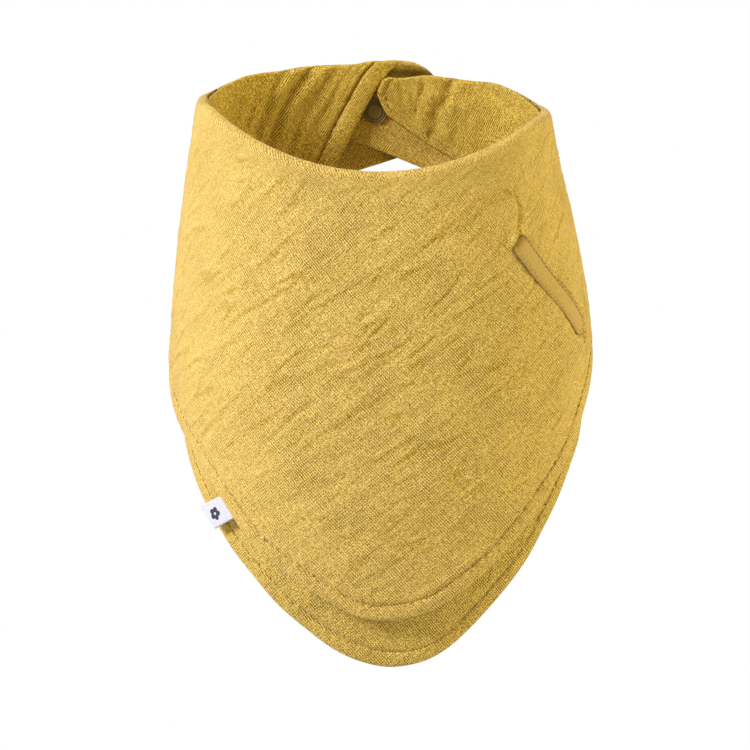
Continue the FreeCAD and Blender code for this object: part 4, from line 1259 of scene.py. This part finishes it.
c = centre("neck_stud_cap")
lo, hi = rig.box("neck_stud_cap")
ncap = lathe("neck_cap_inside", cap_profile(4.6, 1.0, 1.05, 1.9), (c.x, lo.y / MM + 1.0, c.z), (0, -1, 0), M_SNAP)
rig.ride(ncap, "right_tail")
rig.replaces(ncap, "neck_stud_cap")
lo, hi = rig.box("neck_socket_cap")
c = centre("neck_socket_cap")
ocap = lathe("neck_cap_outside", cap_profile(4.6, 1.0, 1.05, 1.9), (c.x, hi.y / MM - 1.0, c.z), (0, 1, 0), M_SNAP)
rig.ride(ocap, "left_tail")
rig.replaces(ocap, "neck_socket_cap")
mt = [m for m in REC["mounts"] if m["name"] == "spare_socket"][0]
sd = -Vector(mt["axis"])
sc = Vector(mt["pos_m"]) / MM
lo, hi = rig.box("spare_socket_cap")
oc = sc + sd * (1.47 + 2.1 + 0.24)
scap = lathe("spare_cap_outside", cap_profile(4.6, 1.0, 1.05, 1.9), oc, sd, M_SNAP)
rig.ride(scap, "left_tail")
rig.replaces(scap, "spare_socket_cap")
for nname in ("neck_stud", "neck_socket", "spare_socket", "strap_stud", "strap_socket", "strap_stud_cap"):
    o = frame["nodes"][nname]
    if len(o.data.materials) == 0:
        o.data.materials.append(M_SNAP)
    for i in range(len(o.data.materials)):
        o.data.materials[i] = M_SNAP


# ------------------------------------------------------------------ pacifier strap
STRAP = [(42.6, -25.2), (46.2, -31.4), (50.0, -37.8), (53.6, -43.8), (57.4, -49.8), (61.2, -55.6), (64.2, -60.2)]


def strap_curve(n):
    a = np.array(STRAP)
    P = skin(a[:, 0], a[:, 1], 0.0)
    L = np.concatenate([[0], np.cumsum(np.linalg.norm(np.diff(P, axis=0), axis=1))])
    fd, fz = pchip(list(L), list(a[:, 0])), pchip(list(L), list(a[:, 1]))
    return L[-1], fd, fz


def skin_normal(deg, z):
    e = 0.05
    du = skin(deg + e, z, 0) - skin(deg - e, z, 0)
    dv = skin(deg, z + 0.05, 0) - skin(deg, z - 0.05, 0)
    n = np.cross(du, dv)
    return n / np.linalg.norm(n)


def strap_piece(name):
    Ls, fd, fz = strap_curve(40)
    n, m = 90, 25
    outer, inner, att = [], [], []
    for i in range(n):
        s = -2.5 + (Ls + 2.5) * i / (n - 1.0)
        dgr, z = fd(s), fz(s)
        p = skin(dgr, z, 0.0)
        q = skin(fd(s + 0.5), fz(s + 0.5), 0.0)
        nn = skin_normal(dgr, z)
        tt = q - p
        tt -= nn * np.dot(tt, nn)
        tt /= np.linalg.norm(tt)
        side = np.cross(tt, nn)
        base = 0.30 + 1.58 * float(smooth(0.30 * Ls, 0.76 * Ls, s)) - 1.6 * float(smooth(1.5, -2.5, s))
        endd = Ls - s
        w = 3.7 * (math.sqrt(max(0.0, 1 - max(0.0, (3.7 - endd) / 3.7) ** 2)) if endd < 3.7 else 1.0)
        w = max(w * (0.82 + 0.18 * float(smooth(-2.5, 3.0, s))), 0.02)
        ro, ri, ra = [], [], []
        for j in range(m):
            e = (2.0 * j / (m - 1) - 1.0)
            e = math.sin(e * PI / 2)
            x = e * w
            de = min(w - abs(x), max(0.0, endd))
            r = math.sqrt(max(0.0, 1 - max(0.0, 1 - de / 0.5) ** 2))
            h = 0.48 * r
            puff = 0.12 * math.sin(PI * min(1.0, de / 1.2)) - 0.24 * math.exp(-((de - 1.2) / 0.26) ** 2)
            b0 = p + side * x - nn * (x * x / 120.0) + nn * (base + 0.47)
            ro.append(b0 + nn * (h + puff * r))
            ri.append(b0 - nn * h)
            ra.append((s, x, 0))
        outer.append(ro)
        inner.append(ri)
        att.append(ra)
    A, B = np.array(outer), np.array(inner)
    T = np.array(att)
    loop = np.concatenate([A, B[:, ::-1][:, 1:-1]], 1)
    tt = np.concatenate([T, T[:, ::-1][:, 1:-1]], 1)
    ob = new_mesh(name, loop.reshape(-1, 3), grid_faces(n, loop.shape[1], wrap_v=True), {"cloth": tt.reshape(-1, 3)})
    orient_out(ob)
    return ob, Ls, fd, fz


strap, Ls, fd, fz = strap_piece("strap_tape_cloth")
give(strap, M_STRAP)
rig.slot(strap, "strap")
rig.ride(strap, "pacifier_strap")
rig.replaces(strap, "strap_tape", "strap_backing")
t_strap = bvh_of(strap)
path = []
for sgn in (-1, 1):
    rows = []
    for i in range(40):
        s = 0.6 + (Ls - 3.7 - 0.6) * i / 39.0
        p = skin(fd(s), fz(s), 0.0)
        nn = skin_normal(fd(s), fz(s))
        q = skin(fd(s + .5), fz(s + .5), 0.0)
        tt = q - p
        tt -= nn * np.dot(tt, nn)
        tt /= np.linalg.norm(tt)
        side = np.cross(tt, nn)
        rows.append(p + side * sgn * 2.5 + nn * 3.2)
    path.append(rows)
arc = []
for k in range(1, 12):
    a = PI * k / 12.0
    s = Ls - 3.7
    p = skin(fd(s), fz(s), 0.0)
    nn = skin_normal(fd(s), fz(s))
    q = skin(fd(s + .5), fz(s + .5), 0.0)
    tt = q - p
    tt -= nn * np.dot(tt, nn)
    tt /= np.linalg.norm(tt)
    side = np.cross(tt, nn)
    arc.append(p - side * 2.5 * math.cos(a) + tt * 2.5 * math.sin(a) + nn * 3.0)
st = stitches("strap_stitch", np.array(path[0] + arc + path[1][::-1]), t_strap, pitch=1.7, length=1.25, rad=0.15, sink=0.03, outward=radial, mat=M_STRAP_THREAD)
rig.ride(st, "pacifier_strap")
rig.replaces(st, "strap_edge_stitch")


# ------------------------------------------------------------------ label
def label_piece():
    Jl = J["label_tab_flip"]
    A_, B_, C_, E_ = (-47.0, -115.2), (-41.9, -121.9), (-48.9, -127.4), (-55.2, -120.6)
    n, m = 36, 30
    up, dn, att = [], [], []
    for i in range(n):
        u = i / (n - 1.0)
        ru, rd, ra = [], [], []
        for j in range(m):
            v = -0.12 + 1.12 * j / (m - 1.0)
            a = [A_[k] + (B_[k] - A_[k]) * u for k in (0, 1)]
            b = [E_[k] + (C_[k] - E_[k]) * u for k in (0, 1)]
            dgr, z = a[0] + (b[0] - a[0]) * v, a[1] + (b[1] - a[1]) * v
            L = 9.0
            dv = (1 - v) * L
            du = min(u, 1 - u) * 8.6
            r = math.sqrt(max(0.0, 1 - max(0.0, 1 - dv / 0.55) ** 2)) if dv < 0.55 else 1.0
            edge = min(1.0, max(0.0, du / 0.25)) ** 0.5
            h = (0.50 + 0.10 * math.sin(PI * min(1, max(0, v)))) * r * max(edge, 0.35)
            off = -1.0 + 0.25 * math.sin(2.2 * u + 1.0) * v + 0.35 * v * v
            ru.append(skin(dgr, z, off + h))
            rd.append(skin(dgr, z, off - h))
            ra.append((u * 8.6, v * L, 0))
        up.append(ru)
        dn.append(rd)
        att.append(ra)
    A, B, T = np.array(up), np.array(dn), np.array(att)
    loop = np.concatenate([A, B[:, ::-1][:, :-1]], 1)
    tt = np.concatenate([T, T[:, ::-1][:, :-1]], 1)
    ob = new_mesh("label_ribbon", loop.reshape(-1, 3), grid_faces(n, loop.shape[1], wrap_v=True), {"cloth": tt.reshape(-1, 3)})
    # close the two selvage sides
    bm = bmesh.new()
    bm.from_mesh(ob.data)
    bmesh.ops.holes_fill(bm, edges=[e for e in bm.edges if e.is_boundary], sides=0)
    bm.to_mesh(ob.data)
    bm.free()
    orient_out(ob)
    return ob


label = label_piece()
give(label, M_LABEL)
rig.slot(label, "label")
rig.ride(label, "label_tab")
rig.replaces(label, "label_tape")


def motif_piece():
    """five small petals embroidered on the ribbon"""
    c = centre("label_motif")
    t = bvh_of(label)
    loc, nor, _, _ = t.find_nearest(Vector(c * MM))
    nor = np.array(nor)
    if np.dot(nor, radial(np.array(c))) < 0:
        nor = -nor
    o = np.array(loc) / MM
    ax = np.cross((0, 0, 1.0), nor)
    ax /= np.linalg.norm(ax)
    ay = np.cross(nor, ax)
    V, F = [], []
    for k in range(5):
        a = math.radians(90 + 72 * k)
        cx, cy, ra, rb, rot = 1.42 * math.cos(a), 1.42 * math.sin(a), 1.02, 0.98, a
        base = len(V)
        nr, ns = 6, 24
        for i in range(nr):
            f = i / (nr - 1.0)
            for j in range(ns):
                b = 2 * PI * j / ns
                x, y = ra * f * math.cos(b), rb * f * math.sin(b)
                X = cx + x * math.cos(rot) - y * math.sin(rot)
                Y = cy + x * math.sin(rot) + y * math.cos(rot)
                hgt = 0.17 * math.sqrt(max(0, 1 - f ** 2.5)) + 0.015 * math.sin(14 * y) - (0.04 if f > 0.95 else 0)
                V.append(o + ax * X + ay * Y + nor * hgt)
        for i in range(nr - 1):
            for j in range(ns):
                j1 = (j + 1) % ns
                F.append((base + i * ns + j, base + i * ns + j1, base + (i + 1) * ns + j1, base + (i + 1) * ns + j))
    ob = new_mesh("label_flower", np.array(V), np.array(F), {"cloth": np.array(V)})
    orient_out(ob)
    give(ob, M_MOTIF)
    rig.slot(ob, "motif")
    return ob


flower = motif_piece()
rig.ride(flower, "label_tab")
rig.replaces(flower, "label_motif")

# ------------------------------------------------------------------ stage
scene = bpy.context.scene


def plane(name, size, z):
    me = bpy.data.meshes.new(name)
    me.from_pydata([(-size, -size, z), (size, -size, z), (size, size, z), (-size, size, z)], [], [(0, 1, 2, 3)])
    ob = bpy.data.objects.new(name, me)
    scene.collection.objects.link(ob)
    return ob


lo_all, hi_all = CAD_BOX
floor = plane("floor", 8.0, lo_all[2] - 0.12)
mf, ntf, bf = mat_nodes("floor_paper")
bf.inputs["Base Color"].default_value = (0.58, 0.58, 0.58, 1)
bf.inputs["Roughness"].default_value = 0.9
if "Specular IOR Level" in bf.inputs:
    bf.inputs["Specular IOR Level"].default_value = 0.0
give(floor, mf)
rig.stage(floor)


def white_to_camera(nt, surface, out):
    """the camera sees plain white, the light in the scene stays as it is"""
    lp = N(nt, "ShaderNodeLightPath")
    em = N(nt, "ShaderNodeEmission" if out.bl_idname == "ShaderNodeOutputMaterial" else "ShaderNodeBackground")
    em.inputs[0].default_value = (1, 1, 1, 1)
    em.inputs[1].default_value = 1.0
    mx = N(nt, "ShaderNodeMixShader")
    nt.links.new(lp.outputs["Is Camera Ray"], mx.inputs[0])
    nt.links.new(surface, mx.inputs[1])
    nt.links.new(em.outputs[0], mx.inputs[2])
    nt.links.new(mx.outputs[0], out.inputs[0])


white_to_camera(ntf, bf.outputs[0], [n for n in ntf.nodes if n.bl_idname == "ShaderNodeOutputMaterial"][0])

world = bpy.data.worlds.new("studio")
scene.world = world
world.use_nodes = True
bg = world.node_tree.nodes["Background"]
bg.inputs[0].default_value = (1.0, 0.955, 0.81, 1)
bg.inputs[1].default_value = 0.535
white_to_camera(world.node_tree, bg.outputs[0],
                [n for n in world.node_tree.nodes if n.bl_idname == "ShaderNodeOutputWorld"][0])
scene.view_settings.view_transform = "Standard"


def area(name, loc, target, size, power, col=(1, 1, 1)):
    l = bpy.data.lights.new(name, "AREA")
    l.size = size
    l.energy = power
    l.color = col
    ob = bpy.data.objects.new(name, l)
    scene.collection.objects.link(ob)
    ob.location = loc
    d = Vector(target) - Vector(loc)
    ob.rotation_euler = d.to_track_quat("-Z", "Y").to_euler()
    return ob


area("key", (-1.30, -0.62, 0.85), (0, 0, -0.08), 0.45, 34.5, (0.96, 1.05, 1.80))
area("fill", (1.30, -0.22, 0.30), (0, 0, -0.08), 0.7, 13.0, (1.0, 1.0, 1.0))

cam_d = bpy.data.cameras.new("camera")
cam_d.sensor_width = 36.0
cam_d.lens = 168.0
cam_d.clip_end = 50.0
cam = bpy.data.objects.new("camera", cam_d)
scene.collection.objects.link(cam)
T = Vector((0.0005, 0.0, -0.0829))
e = math.radians(14.0)
cam.location = T + Vector((0, -1.25 * math.cos(e), 1.25 * math.sin(e)))
cam.rotation_euler = (T - cam.location).to_track_quat("-Z", "Y").to_euler()
scene.camera = cam

NEW_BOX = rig.bounds()
json.dump({"cad": [list(map(float, CAD_BOX[0])), list(map(float, CAD_BOX[1]))],
           "visual": [list(map(float, NEW_BOX[0])), list(map(float, NEW_BOX[1]))]},
          open("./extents.json", "w"))
for o in (front, left, right, rear):
    print("faces", o.name, len(o.data.polygons))
